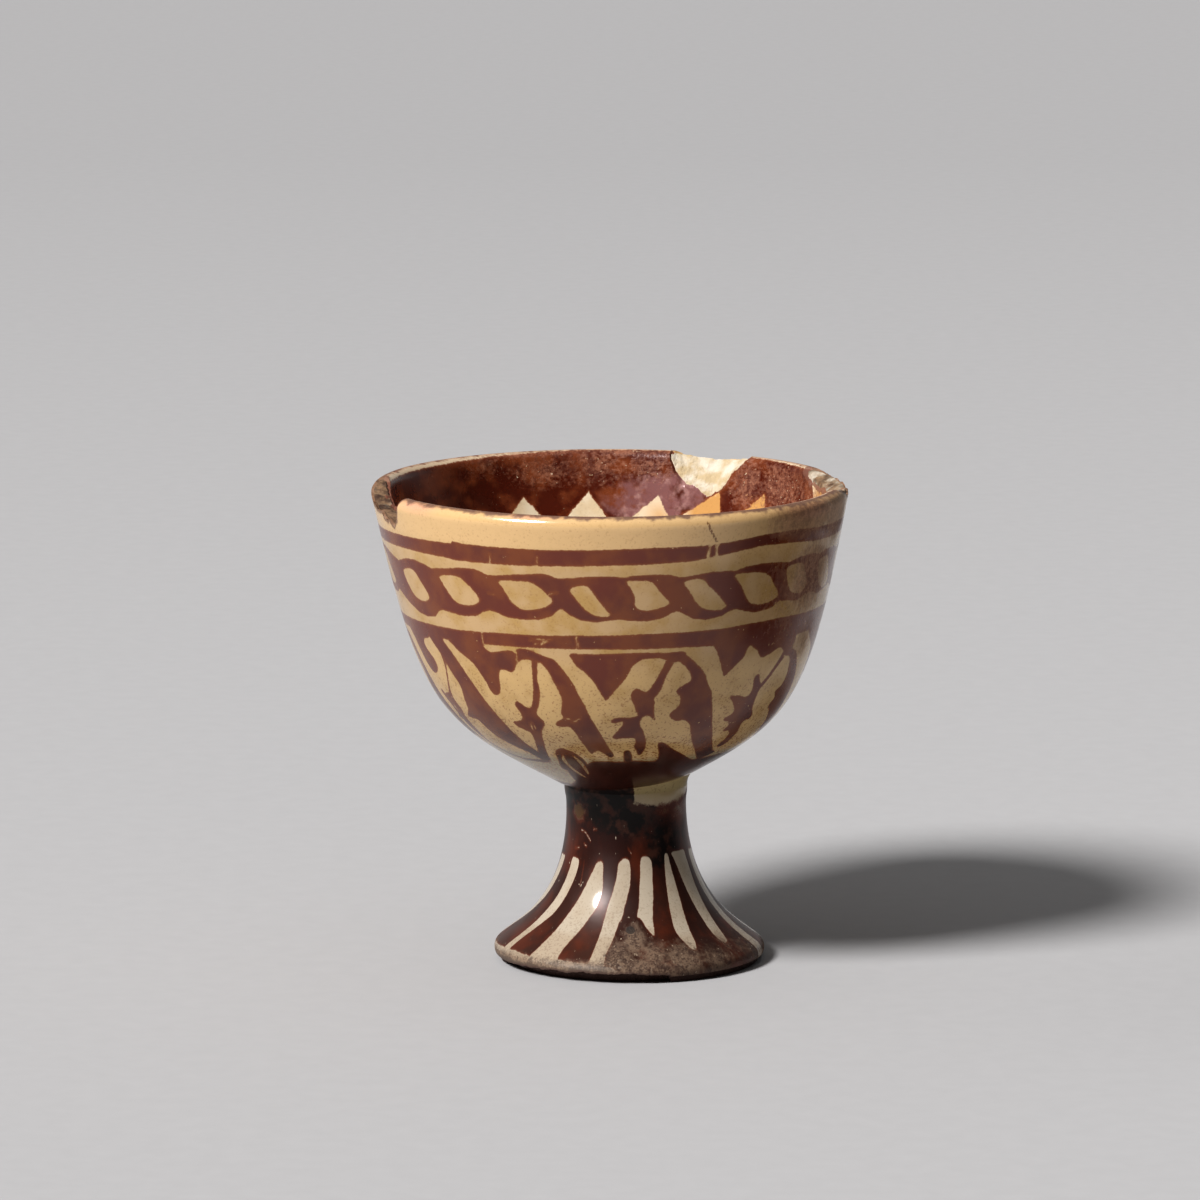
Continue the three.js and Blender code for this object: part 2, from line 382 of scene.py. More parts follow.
def throw(name, profile, turns, axisX, finish):  # turned from a profile that is closed or ends on the axis
    points = bpy.data.meshes.new(name)
    points.from_pydata([(r * mm, 0, z * mm) for r, z in profile], [], [])
    piece = newObject(name, points)
    modifier = piece.modifiers.new("wheel", "NODES")
    modifier.node_group = wheelHead
    values = {
        "Turns": turns, "Rows": len(profile), "Axis X": axisX * mm, "Lean": jointShape["lean"],
        "Wobble": wheel["wobble"] * mm, "Wobble Size": wheel["wobbleSize"] * mm, "Seed": wheel["seed"],
        "Finish": finish}
    for item in wheelHead.interface.items_tree:
        if item.name in values:
            modifier[item.identifier] = values[item.name]
    settle(piece)
    piece.data.materials.clear()
    piece.data.materials.append(finish)
    piece.data.polygons.foreach_set("material_index", np.zeros(len(piece.data.polygons), np.int32))
    faceOut(piece.data)
    return piece


def edgeAt(points, around):  # a value given at places all the way round the axis
    angles, downs = np.array(points, float).T
    return np.interp(around, angles, downs, period=360)


# Breaks. A ring lies over the rim and another under the foot, and each dips into the piece where its edge
# is broken. Places are degrees round from the front, to the right. Depths are millimetres, and below zero
# the ring stays clear.

rimBreaks = {
    "outside": [(-106, -0.6), (-99, 0.0), (-90, 0.9), (-82, 2.1), (-76, 2.7), (-71, 2.9), (-68, 3.5),
                (-65.5, 4.3), (-64, 3.3), (-62.4, 1.8), (-61.2, 0.0), (-60.2, -0.6), (75, -0.6), (80, 0.3),
                (86, 0.9), (95, 1.1), (104, 0.9), (111, 0.4), (117, -0.6), (139, -0.6), (142, 0.2),
                (146, 0.7), (152, 0.9), (158, 0.7), (161, 0.2), (163, -0.6)],
    "inside": [(-104, -0.6), (-97, 0.4), (-89, 1.5), (-81, 2.6), (-73, 3.4), (-66, 3.6), (-63.4, 2.6),
               (-61.2, -0.6), (72, -0.6), (79, 0.9), (86, 2.0), (95, 2.8), (104, 2.6), (112, 1.9),
               (117, 0.9), (121, -0.6), (139, -0.6), (140.5, 0.5), (142.5, 1.5), (144.5, 2.9), (147, 5.0),
               (149, 6.2), (151, 6.7), (154, 6.1), (157, 5.3), (160, 4.6), (162, 3.6), (163.3, 1.9),
               (164.2, -0.6)],
    "inner": 33.0, "outer": 36.6, "columns": 1440, "rows": 26, "toolInner": 30.0, "toolOuter": 38.6,
}
footBreaks = {
    "depth": [(-86, -0.6), (-76, 0.3), (-62, 0.9), (-40, 1.2), (-15, 1.5), (5, 1.4), (14, 1.35),
              (17.5, 1.0), (18.6, -0.2), (26, -0.4), (34, 0.25), (41, -0.5)],
    "inner": 18.4, "outer": 19.5, "columns": 900, "rows": 22, "toolInner": 17.6, "toolOuter": 22.6,
}
flake = {  # millimetres: roughness, size of lumps, small losses, and the ring's own sizes
    "rough": 0.42, "grain": 2.6, "raggedMargin": 0.8, "nibbleGrain": 1.7, "nibbleFrom": 0.55, "nibbleSeed": 5,
    "footRough": 0.3, "footGrain": 1.6, "clear": 0.6, "thick": 3.0, "search": 9.0,
}
ruggedNoise = {"dimension": 0.7, "lacunarity": 2.1, "octaves": 5, "apart": 9.7}  # seeds lie apart along Z
rimCuts = {  # how far the glaze has flaked back, small losses, dirt on the glaze beside, and the noise
    "outer": {"margin": 0.5, "nibble": 0.42, "dirty": 0.9, "seed": 1},
    "inner": {"margin": 0.3, "nibble": 0.42, "dirty": 0.3, "seed": 2},
    "paste": {"margin": 0.0, "nibble": 0.0, "seed": 3},
}
footCuts = {"glaze": {"margin": 0.25, "dirty": 0.5, "seed": 4}, "paste": {"margin": 0.0, "seed": 5}}


def roughAt(angles, radii, grain, seed):  # uneven surface of a break, about -1 to 1
    a, r = np.radians(angles), ruggedNoise
    layer = np.full(a.shape, seed * r["apart"])
    spots = np.stack([radii * np.sin(a), -radii * np.cos(a), layer], -1).reshape(-1, 3) / grain
    values = [noise.fractal(Vector(spot), r["dimension"], r["lacunarity"], r["octaves"]) for spot in spots]
    return np.array(values).reshape(a.shape)


def broken(depth):  # 0 where the ring stays clear, 1 well inside a break
    return np.clip((depth + flake["clear"]) / (2 * flake["clear"]), 0, 1)


def rimDepth(angles, radii, cut):
    b = rimBreaks
    outerDepth, innerDepth = edgeAt(b["outside"], angles), edgeAt(b["inside"], angles)
    across = np.clip((b["outer"] - radii) / (b["outer"] - b["inner"]), 0, 1)
    depth = outerDepth + (innerDepth - outerDepth) * across
    ragged = roughAt(angles, radii, flake["grain"], cut["seed"])
    depth += broken(depth) * (flake["rough"] * ragged + cut["margin"] * (1 + flake["raggedMargin"] * ragged))
    nibbles = roughAt(angles, radii, flake["nibbleGrain"], cut["seed"] + flake["nibbleSeed"])
    return np.maximum(depth, cut["nibble"] * (nibbles - flake["nibbleFrom"]))


def footDepth(angles, radii, cut):
    b = footBreaks
    across = np.clip((radii - b["inner"]) / (b["outer"] - b["inner"]), 0, 1)
    depth = -flake["clear"] + (edgeAt(b["depth"], angles) + flake["clear"]) * across
    ragged = roughAt(angles, radii, flake["footGrain"], cut["seed"])
    return depth + broken(depth) * (flake["footRough"] * ragged + cut["margin"])


rim = {"breaks": rimBreaks, "depthAt": rimDepth, "axis": bowlAxis, "level": bowlShape["height"], "side": 1}
base = {"breaks": footBreaks, "depthAt": footDepth, "axis": stemAxis, "level": 0.0, "side": -1}


def ringTool(name, edge, cut):  # closed ring between the cutting face and a flat face
    b = edge["breaks"]
    columns, rows = b["columns"], b["rows"] + 2
    turns = np.linspace(-180, 180, columns, endpoint=False)
    angles, radii = np.meshgrid(turns, np.linspace(b["toolInner"], b["toolOuter"], b["rows"]), indexing="ij")
    face = edge["level"] - edge["side"] * edge["depthAt"](angles, radii, cut)
    clear = edge["level"] + edge["side"] * flake["thick"]
    flat = np.array([[b["toolOuter"], clear], [b["toolInner"], clear]])
    spots = np.concatenate([np.stack([radii, face], -1), np.broadcast_to(flat, (columns, 2, 2))], 1)
    turn = np.radians(angles[:, :1])
    x = edge["axis"] + jointShape["lean"] * spots[..., 1] + spots[..., 0] * np.sin(turn)
    points = np.stack([x, -spots[..., 0] * np.cos(turn), spots[..., 1]], -1).reshape(-1, 3) * mm
    corner = np.arange(columns * rows).reshape(columns, rows)
    nextColumn, nextRow = np.roll(corner, -1, 0), np.roll(corner, -1, 1)
    both = np.roll(nextColumn, -1, 1)
    faces = np.stack([corner, nextColumn, both, nextRow], -1).reshape(-1, 4)
    mesh = bpy.data.meshes.new(name)
    mesh.from_pydata(points.tolist(), [], faces.tolist())
    faceOut(mesh)
    return newObject(name, mesh)


def bitten(piece, tool):
    tool.data.materials.clear()
    tool.data.materials.append(piece.data.materials[0])  # the break shows the piece's own material
    cut = piece.modifiers.new(tool.name, "BOOLEAN")
    cut.operation = "DIFFERENCE"
    cut.solver = "MANIFOLD"
    cut.object = tool
    settle(piece)
    dropObject(tool)


# Paint. Each field is in millimetres and is positive inside the paint. A place on a wall is (degrees round
# from the front, millimetres down from the lip or from the stem's top).

perDegree = 0.55  # millimetres along the wall for a degree, near the middle of the bowl
farOut = -3.0  # field far from any paint
fieldNames = ("paint", "crack", "worn", "purple", "warm", "low", "rim", "lip", "chip")


def spotsOn(piece, axisX):  # degrees round, radius and height of each vertex
    spots = np.empty(len(piece.data.vertices) * 3)
    piece.data.vertices.foreach_get("co", spots)
    x, y, z = spots.reshape(-1, 3).T / mm
    x = x - axisX - jointShape["lean"] * z
    return np.degrees(np.arctan2(x, -y)), np.hypot(x, y), z


def placesOn(piece, axisX, run):  # run goes from the top down
    around, _, height = spotsOn(piece, axisX)
    return around, np.interp(-height, -run[:, 1], runLength(run))


def brokenEdge(piece, edge, cut):  # 1 on a break, fading out over the glaze beside it
    around, radius, height = spotsOn(piece, edge["axis"])
    depth = (edge["level"] - height) * edge["side"]
    close = np.abs(depth) < flake["search"]
    share = np.zeros(len(around))
    share[close] = 1 - (depth[close] - edge["depthAt"](around[close], radius[close], cut)) / cut["dirty"]
    return np.clip(share, 0, 1)


def rimDirt(piece, cut, around):  # a clean break leaves no stain on the glaze, a half dirty one leaves it all
    return brokenEdge(piece, rim, cut) * np.clip(edgeAt(pasteLook["dirt"], around) * 2, 0, 1)


def smoothLoop(points, steps=5):  # closed curve through given points
    p = np.array(points, float)
    before, after, later = np.roll(p, 1, 0), np.roll(p, -1, 0), np.roll(p, -2, 0)
    curve = []
    for t in np.arange(steps) / steps:
        curve.append(0.5 * (2 * p + (after - before) * t + (2 * before - 5 * p + 4 * after - later) * t * t
                            + (3 * p - before - 3 * after + later) * t ** 3))
    return np.stack(curve, 1).reshape(-1, 2)


def strokeDistance(points, around, down, closed):
    ends = np.roll(points, -1, 0) if closed else points[1:]
    starts = points if closed else points[:-1]
    nearest = np.full(around.shape, np.inf)
    crossings = np.zeros(around.shape, bool)
    for (ax, ay), (bx, by) in zip(starts, ends):
        px, py = (around - ax) * perDegree, down - ay
        dx, dy = (bx - ax) * perDegree, by - ay
        t = np.clip((px * dx + py * dy) / max(dx * dx + dy * dy, 1e-12), 0, 1)
        nearest = np.minimum(nearest, (px - t * dx) ** 2 + (py - t * dy) ** 2)
        if ay != by:
            spans = (ay > down) != (by > down)
            crossings ^= spans & (around < ax + (down - ay) * (bx - ax) / (by - ay))
    return np.sqrt(nearest), crossings


def near(points, around, down):  # which places lie close, and their degrees without a jump at the back
    low, high = points.min(0), points.max(0)
    middle = (low[0] + high[0]) / 2
    wrapped = middle + (around - middle + 180) % 360 - 180
    close = np.abs(wrapped - middle) < (high[0] - low[0]) / 2 - farOut / perDegree
    close &= (down > low[1] + farOut) & (down < high[1] - farOut)
    return close, wrapped


def loops(shapes, around, down):  # filled shapes with smooth outlines
    field = np.full(around.shape, farOut)
    for shape in shapes:
        curve = smoothLoop(shape)
        close, wrapped = near(curve, around, down)
        distance, within = strokeDistance(curve, wrapped[close], down[close], True)
        field[close] = np.maximum(field[close], np.where(within, distance, -distance))
    return field


def lines(strokes, around, down):  # each has its width and its path
    field = np.full(around.shape, farOut)
    for width, points in strokes:
        line = np.array(points, float)
        close, wrapped = near(line, around, down)
        distance, _ = strokeDistance(line, wrapped[close], down[close], False)
        field[close] = np.maximum(field[close], width / 2 - distance)
    return field


def bandField(upper, lower, around, down):
    return np.minimum(down - edgeAt(upper, around), edgeAt(lower, around) - down)


def patches(spots, around, down):  # soft round patches, each with its centre, its size and its strength
    total = np.zeros(around.shape)
    for (turn, depth), (wide, high), strength in spots:
        wrapped = (around - turn + 180) % 360 - 180
        away = np.hypot(wrapped / wide, (down - depth) / high)
        total = np.maximum(total, strength * np.clip(1 - away, 0, 1))
    return total


def growing(down, start, span):
    return np.clip((down - start) / span, 0, 1)


def fading(down, end, span):
    return np.clip((end - down) / span, 0, 1)


def store(piece, **fields):
    none = np.zeros(len(piece.data.vertices))
    for name in fieldNames:
        fields.setdefault(name, none + farOut if name == "crack" else none)
    for name, values in fields.items():
        layer = piece.data.attributes.new(name, "FLOAT", "POINT")
        layer.data.foreach_set("value", np.asarray(values, np.float32))


stripes = {  # two plain bands; cream tint and wear near the lip, each with its end and its fade
    "upperTop": [(-75, 6.8), (-62, 6.6), (-45, 6.35), (-41.8, 6.3), (-41.4, 5.9), (-38, 6.1), (-15, 6.05),
                 (0, 5.8), (10, 5.6), (25, 5.6), (33, 5.15), (40, 4.75), (50, 4.7), (62, 5.2), (90, 5.7),
                 (180, 6.2), (-110, 6.9)],
    "upperBottom": [(-75, 8.9), (-60, 8.7), (-45, 8.8), (-41.5, 9.0), (-35, 8.95), (-20, 8.8), (-10, 8.6),
                    (0, 8.4), (10, 8.3), (20, 8.05), (28, 7.4), (35, 6.85), (40, 6.55), (50, 6.8),
                    (62, 7.4), (90, 7.9), (180, 8.4), (-110, 9.0)],
    "middleTop": [(-75, 20.8), (-55, 20.65), (-45, 20.6), (-40, 20.45), (-30, 20.2), (-20, 20.1),
                  (-10, 19.85), (0, 19.75), (10, 19.55), (20, 19.5), (30, 19.4), (38, 19.1), (50, 18.95),
                  (70, 19.2), (180, 19.9)],
    "middleBottom": [(-75, 22.7), (-60, 22.8), (-50, 22.7), (-37, 22.45), (-20, 22.25), (-10, 22.15),
                     (19, 22.1), (30, 22.3), (45, 22.5), (75, 22.7), (180, 22.6)],
    "rim": (9.5, 4.0), "lip": (1.44, 1.6),
}
rope = {  # twisted band: its scalloped edges, and the eyes left in cream
    "top": [(-68, 11.2), (-63, 10.4), (-58, 10.2), (-54, 10.5), (-51, 11.0), (-46, 10.6), (-41, 10.15),
            (-36, 10.0), (-34, 10.3), (-32, 10.8), (-29, 10.65), (-23, 10.2), (-17, 9.95), (-14.8, 10.2),
            (-13, 10.6), (-10, 10.45), (-5, 10.15), (0, 10.1), (3, 10.3), (4.2, 10.15), (6, 10.0),
            (11, 9.9), (15, 10.05), (17, 10.5), (20, 10.35), (25, 9.95), (30, 9.95), (32, 10.15),
            (35, 9.6), (40, 9.4), (46, 9.6), (49.5, 9.9), (54, 9.4), (60, 9.3), (64, 9.8), (68, 9.4),
            (75, 9.5), (79, 10.0)],
    "bottom": [(-68, 17.9), (-65, 18.5), (-62, 19.2), (-58, 19.5), (-54, 19.1), (-51.5, 18.0), (-50, 17.7),
               (-47, 17.9), (-42, 18.15), (-37.5, 17.8), (-35, 17.0), (-33, 16.6), (-31, 16.9),
               (-28, 17.5), (-24, 17.7), (-19, 17.5), (-15.5, 16.8), (-13.5, 15.7), (-12.5, 15.7),
               (-11, 16.5), (-8, 17.4), (-4, 17.65), (0, 17.3), (2, 17.15), (5, 17.45), (9, 17.5),
               (13, 17.1), (15.5, 16.3), (17, 16.05), (18.5, 16.5), (21, 17.4), (25, 17.8), (29, 17.4),
               (32, 16.6), (33.5, 16.4), (36, 16.9), (40, 17.4), (45, 17.1), (48.5, 16.1), (52, 16.3),
               (56, 16.7), (60, 15.9), (64, 15.9), (68, 16.6), (74, 16.2), (78, 15.8)],
    "eyes": [
        [(-66, 12.7), (-63, 12.1), (-59.6, 12.1), (-57.5, 13.5), (-55.5, 15), (-54.8, 16.1), (-56.8, 16.8),
         (-59.5, 16.9), (-62.5, 16.3), (-64.5, 15), (-65.6, 13.8)],
        [(-48.5, 12.2), (-46, 11.8), (-43, 11.6), (-40.5, 12), (-38, 13.2), (-36, 14.6), (-35.9, 15.2),
         (-37.5, 15.9), (-40, 16.2), (-43, 16.1), (-45, 15.4), (-46.5, 14.2), (-47.8, 13)],
        [(-28.9, 11.6), (-25, 11.4), (-21, 11.4), (-18.7, 12), (-16.5, 13.2), (-15.2, 14.2), (-15.6, 14.8),
         (-17.5, 15.4), (-20.5, 15.9), (-23.5, 15.9), (-25.8, 15.1), (-27, 13.9), (-28.2, 12.6)],
        [(-10.2, 12.4), (-8.5, 11.8), (-6.2, 11.8), (-4.8, 12.7), (-3, 14.3), (-1.2, 15.8), (-0.5, 16.4),
         (-2, 16.7), (-4.2, 16.5), (-6.2, 15.8), (-8, 14.6), (-9.4, 13.4)],
        [(3.7, 10.95), (6, 10.9), (9.5, 11), (11.3, 12.2), (13.3, 13.6), (14.6, 14.5), (14, 15),
         (12, 15.4), (10, 15.7), (7.5, 15.6), (6, 15), (5.8, 13.5), (4.9, 12.1)],
        [(18.3, 11.4), (20.5, 11), (23.2, 11.1), (25, 12.3), (27.3, 13.6), (29.3, 14.9), (30.5, 15.8),
         (29, 16.2), (26.5, 16.2), (24, 15.8), (22, 14.9), (20.8, 13.8), (19.4, 12.5)],
        [(32, 10.8), (36, 10.7), (40, 10.9), (43, 11.6), (45, 13), (47, 14.5), (47.2, 15.3), (45, 15.8),
         (42, 16.1), (39, 15.9), (37, 15.2), (35.5, 13.8), (33.8, 12.2)],
        [(49.6, 10.7), (53, 10.4), (56, 10.7), (58, 12.2), (59.5, 14), (58, 15.2), (55, 15.4), (52, 14.6),
         (50.3, 13), (49.5, 11.6)],
    ],
    "plainEye": [(-5.6, -2.4), (-3, -2.7), (0.4, -2.6), (2.4, -1.4), (4.4, 0.2), (5.9, 1.7), (5, 2.3),
                 (2, 2.6), (-0.8, 2.2), (-2.8, 1.2), (-4, -0.2), (-5, -1.4)],
    "plainTop": [(-6, 10.35), (-2.5, 9.9), (3, 9.85), (7.5, 10.3)],
    "plainBottom": [(-7, 16.1), (-4, 16.6), (1, 17.3), (5, 17.2), (8, 16.4)],
    "plainFrom": 70.0, "plainStep": 16.0, "plainCount": 14, "plainMiddle": 13.3,
}
frieze = {  # leaves between the middle stripe and the ring round the joint
    "centre": [  # pendant, arch with its thick leaf stroke, thin stem with its trefoil
        [(-51, 22.3), (-49.5, 23.3), (-47.5, 24.3), (-45, 25.2), (-43, 26), (-41.5, 27.2), (-40.2, 28.5),
         (-39.4, 29.6), (-39, 30.6), (-37.8, 31.25), (-36.4, 31.2), (-35.4, 30.6), (-34.8, 29.7),
         (-34.4, 28.4), (-34, 27.3), (-33.2, 26.6), (-31.5, 26.6), (-29.8, 26.8), (-28.5, 26.4),
         (-27.9, 25.6), (-27.2, 24.9), (-27.4, 23.4), (-29, 22.95), (-32, 23.3), (-35.5, 23.6),
         (-37.3, 22.8), (-37.6, 22), (-44, 21.8)],
        [(-27, 22.9), (-25, 22.5), (-22.5, 22.7), (-20.5, 23.2), (-18.5, 23.6), (-16.5, 23.9), (-15, 24.8),
         (-13.2, 26.3), (-11.4, 28.1), (-10.2, 30), (-8.8, 31.8), (-7.8, 33.6), (-6.4, 35.4), (-5, 37.2),
         (-3.7, 39), (-2.3, 41), (-0.8, 42.8), (-0.6, 43.8), (-2, 44.2), (-3.5, 43.5), (-5, 42.6),
         (-6.5, 42.1), (-8, 42.6), (-9, 43.2), (-9.9, 42.6), (-10.7, 41.2), (-11.9, 39.7), (-12.7, 38.4),
         (-13.6, 37.2), (-14.8, 36.4), (-16.5, 36.4), (-17.8, 36.5), (-19.1, 36), (-18.3, 35.3),
         (-16.6, 34.8), (-16.1, 34.2), (-16.5, 33.5), (-16, 32.4), (-15.5, 31), (-16, 29.7), (-17.1, 28),
         (-18, 26.6), (-19.3, 25.3), (-20.6, 24.7), (-23, 24.4), (-25, 24.4), (-26.3, 24.7), (-27, 25)],
        [(-22.6, 24.4), (-23.2, 26.5), (-23.6, 28.5), (-24.2, 30.2), (-24.8, 31.4), (-25.6, 32.4),
         (-26.6, 33), (-27.8, 32.8), (-29, 32.3), (-30.2, 31.95), (-31.2, 32.2), (-31.4, 32.9),
         (-30.7, 33.8), (-30.3, 34.8), (-30.8, 35.5), (-32.5, 35.9), (-34.6, 36.2), (-34.6, 36.8),
         (-33.2, 37.4), (-31.2, 37.9), (-29.9, 38.2), (-29.7, 39.4), (-30.2, 40.8), (-31.2, 42.2),
         (-32.5, 44), (-33.5, 46), (-30, 46.5), (-28.6, 44.5), (-27.6, 42.8), (-26.6, 41), (-25.9, 39.4),
         (-25.2, 38), (-24.2, 37.1), (-23, 36.3), (-22.9, 35.5), (-24, 34.7), (-24.7, 34), (-24, 33.2),
         (-23.2, 32.5), (-22.5, 31.5), (-21.9, 30.3), (-21.7, 29.2), (-21.9, 27.8), (-21.5, 26.2),
         (-21.2, 24.6)],
    ],
    "front": [
        [(-11.6, 22.9), (-11.2, 23.9), (-10.2, 25), (-8.5, 25.8), (-7, 26.7), (-5.5, 27.8), (-4.4, 29.1),
         (-3.4, 30.2), (-2.4, 31), (-1.2, 30.4), (0.5, 29.1), (2.2, 28), (3.6, 27), (4.5, 26), (5.2, 25.1),
         (6.4, 24.4), (8.2, 23.9), (10.5, 23.75), (13, 23.8), (14.8, 24.2), (16, 24.6), (18, 24.5),
         (20, 24), (20.2, 23.2), (18.8, 22.7), (15, 22.8), (10, 22.7), (5, 22.7), (0, 22.8), (-5, 22.9)],
        [(17, 23.6), (19.2, 23.1), (21, 23.7), (23, 24.7), (25, 25.8), (26.7, 27.1), (27.8, 28.5),
         (29.3, 29.7), (30.2, 31), (31, 32.6), (32, 34.2), (33, 35.8), (34.2, 37.3), (35.7, 38.9),
         (37.6, 40.6), (40, 42.2), (43, 43.8), (46, 45), (40, 46.5), (35, 44.6), (32.4, 43), (30, 41.5),
         (28.2, 40.2), (26.9, 38.9), (25.9, 37.7), (25, 36.5), (23.8, 35.7), (22.2, 35.2), (20, 35.3),
         (18.2, 34.8), (17, 34), (17.8, 33.3), (19.3, 32.6), (20, 31.7), (19.5, 30.6), (18.2, 29.7),
         (19.2, 28.9), (21, 28.3), (22.4, 27.8), (21.8, 26.7), (20.4, 25.5), (18.6, 24.6)],
        [(14.6, 24.2), (13.4, 25.7), (12.3, 27), (11.2, 28.2), (10, 29.2), (9, 29.5), (7.8, 29.1),
         (6.5, 28.8), (5.4, 29.3), (4.8, 30.1), (5.2, 31.1), (6, 32), (6.5, 33), (7.3, 33.8), (5, 34.2),
         (2.5, 34.2), (0.2, 34.3), (-1.3, 35), (0.2, 35.4), (2.4, 35.1), (2.4, 35.8), (1.2, 36.7),
         (0, 37.6), (-0.8, 38.4), (0.2, 39), (2.6, 38.8), (5, 38.7), (6.8, 38.9), (7.1, 39.9), (6.8, 41),
         (7.8, 42), (8.6, 43.2), (10, 43.4), (10.9, 42), (11.1, 40.6), (10.7, 39.2), (10, 38), (9.2, 36.9),
         (8.3, 36), (8.1, 35), (9, 34.2), (10.6, 34), (12.2, 34.8), (13.2, 35.4), (12.6, 34.2),
         (12.1, 32.9), (12.2, 31.6), (11.8, 30.9), (12.6, 30.2), (13.6, 29.3), (14.2, 28.2), (14.9, 27),
         (15.7, 25.9), (16.6, 24.7)],
        [(3.2, 42.4), (5, 41.9), (6.4, 43), (6.9, 45.6), (3.8, 45.6)],
        [(28.8, 21.5), (29.4, 23.4), (30.2, 24.5), (31.1, 25.6), (31.8, 26.6), (32.8, 27.7), (34.2, 27.1),
         (36, 26.1), (37.6, 25.3), (38.8, 24.5), (39.3, 23.5), (40.2, 22.9), (41.6, 23.3), (43.2, 23.9),
         (44.2, 24.6), (45.4, 25.3), (47, 25.2), (49.2, 24.9), (51, 24.4), (53, 24.2), (54.8, 24.8),
         (56, 25.6), (58, 26), (59.5, 25.5), (59, 22), (44, 21.5)],
        [(55.2, 25.2), (53.8, 26.4), (52.4, 27.4), (51, 28.5), (49.6, 29.4), (48.4, 29.9), (47.2, 29),
         (46.4, 28.2), (45, 28.3), (44.6, 29.2), (45, 30.4), (44.8, 31.6), (43.2, 32), (41, 31.6),
         (38.5, 31.4), (36.5, 31.4), (38, 32.4), (39.5, 33.4), (40.5, 34.4), (39.5, 35.2), (37.5, 35.6),
         (38, 36.3), (40, 36.6), (41, 37.4), (40, 38.2), (40.2, 38.8), (42.5, 38.8), (44, 39.6),
         (44, 41.2), (42.8, 42.6), (45.5, 43.2), (47.6, 42.2), (48.4, 40.6), (48.2, 39), (47.6, 37.8),
         (48.6, 37), (50.6, 36.8), (50.8, 35.9), (49.4, 34.9), (48.6, 33.8), (48.4, 32.4), (49, 31),
         (50.4, 30.2), (52.2, 28.9), (53.8, 27.8), (55.2, 26.9), (56.5, 26.2)],
        [(58, 24.6), (60.5, 25), (63, 25.6), (65, 27), (67, 28.6), (69, 30.5), (70.5, 33), (71.5, 36),
         (73, 39), (75, 42), (70, 43), (66, 40.5), (63.5, 38), (60.5, 36), (58.2, 35), (59.5, 33.5),
         (58, 32.2), (60.5, 31.4), (61.6, 30), (61, 28), (59.8, 26.4), (58, 25.8)],
        [(-60.5, 22.2), (-59, 24), (-57, 25.3), (-55.8, 26.4), (-54.6, 28), (-53.4, 29.3), (-52.4, 30.4),
         (-52.4, 31.8), (-53.2, 33.4), (-54, 35), (-55.8, 36), (-57.2, 36.8), (-55, 37.1), (-52.2, 37.2),
         (-50.6, 38.5), (-48.6, 40.4), (-46, 41.6), (-42, 43), (-38, 44.2), (-34, 46.5), (-30.5, 46),
         (-31.5, 44.2), (-33.6, 42.4), (-35.4, 40.7), (-37.2, 38.7), (-39, 36.5), (-41, 34.3), (-43, 32.3),
         (-44.7, 30.4), (-46.5, 28.6), (-48.2, 26.9), (-49.9, 25.4), (-51.5, 24.2), (-53, 23.2),
         (-54, 22.2)],
        [(-57, 25.2), (-56.6, 26.8), (-57.2, 28.4), (-58.6, 30.2), (-60, 31.6), (-61.5, 32.6), (-64, 33),
         (-66, 33.6), (-65, 34.6), (-63, 35.2), (-62.5, 36.2), (-64, 37), (-66, 37.6), (-63, 38.6),
         (-61.5, 40), (-62.5, 42), (-60, 42.5), (-59.2, 40.5), (-59.4, 38.5), (-59.6, 37), (-58.8, 35.6),
         (-60, 34), (-59.8, 32.8), (-58.8, 31.4), (-57.4, 29.8), (-56.2, 28.2), (-55.6, 26.6),
         (-56, 25.4)],
        [(-74, 22), (-72, 24.5), (-70, 27), (-68, 29), (-65.5, 29.6), (-63.2, 29.2), (-61.6, 28.2),
         (-61.8, 27), (-63, 26.2), (-64.5, 25.4), (-65.2, 24.4), (-63.8, 23.6), (-61.5, 23.3),
         (-60, 22.2)],
        [(-27.5, 50), (-25.5, 45.5), (-24.3, 43.4), (-22.5, 42.2), (-20, 41.8), (-17.2, 42.4),
         (-14.8, 43.6), (-13.2, 45.3), (-12.6, 47.5), (-12.5, 50)],
        [(15.4, 40.2), (17, 40), (19, 40.7), (21, 41.5), (23, 42.3), (26, 43.3), (29, 44.3), (32, 45.3),
         (35, 46.2), (40, 48), (40, 52), (14, 52), (17.5, 45.5), (17.2, 43.5), (16, 41.8)],
    ],
    "strokes": [(1.1, [(-66.5, 33), (-64.5, 35), (-63, 38), (-62, 41), (-60, 44), (-56, 46.2), (-48, 47.4),
                (-40, 47.2), (-32, 46.8)])],
    "slivers": [
        [(-23.4, 46), (-22.4, 44.6), (-21.4, 43.9), (-21.9, 45.8), (-21.8, 48), (-20.4, 50.6),
         (-18.6, 52.8), (-20.4, 52.4), (-22.6, 50)],
        [(-17.2, 44), (-16.2, 44.7), (-14.9, 46), (-14.4, 48), (-14.8, 50.5), (-15.9, 51.3), (-15.9, 49.4),
         (-16.2, 46.8)],
    ],
    "jointCream": [(28, 58), (42, 56.4), (55, 54.8), (70, 53.2), (85, 52.4), (100, 53.4), (108, 56),
                   (108, 61), (28, 61)],
    "unitFrom": -51.0, "backFrom": 68.0, "backStep": 36.33, "backCount": 6, "backWidth": 0.92,
    "ringTop": [(-95, 46.5), (-84, 53), (-60, 56.5), (-40, 57), (-30, 55), (-26.5, 50), (-12.5, 46.6),
                (-10, 45.6), (-4, 45.4), (2, 45.6), (8, 45.2), (14, 45.6), (30, 46.5), (60, 46),
                (110, 46.6), (150, 45.8), (-150, 46.6), (-115, 45.9)],
    "low": (22.0, 24.0), "ringSoft": 0.6,
}
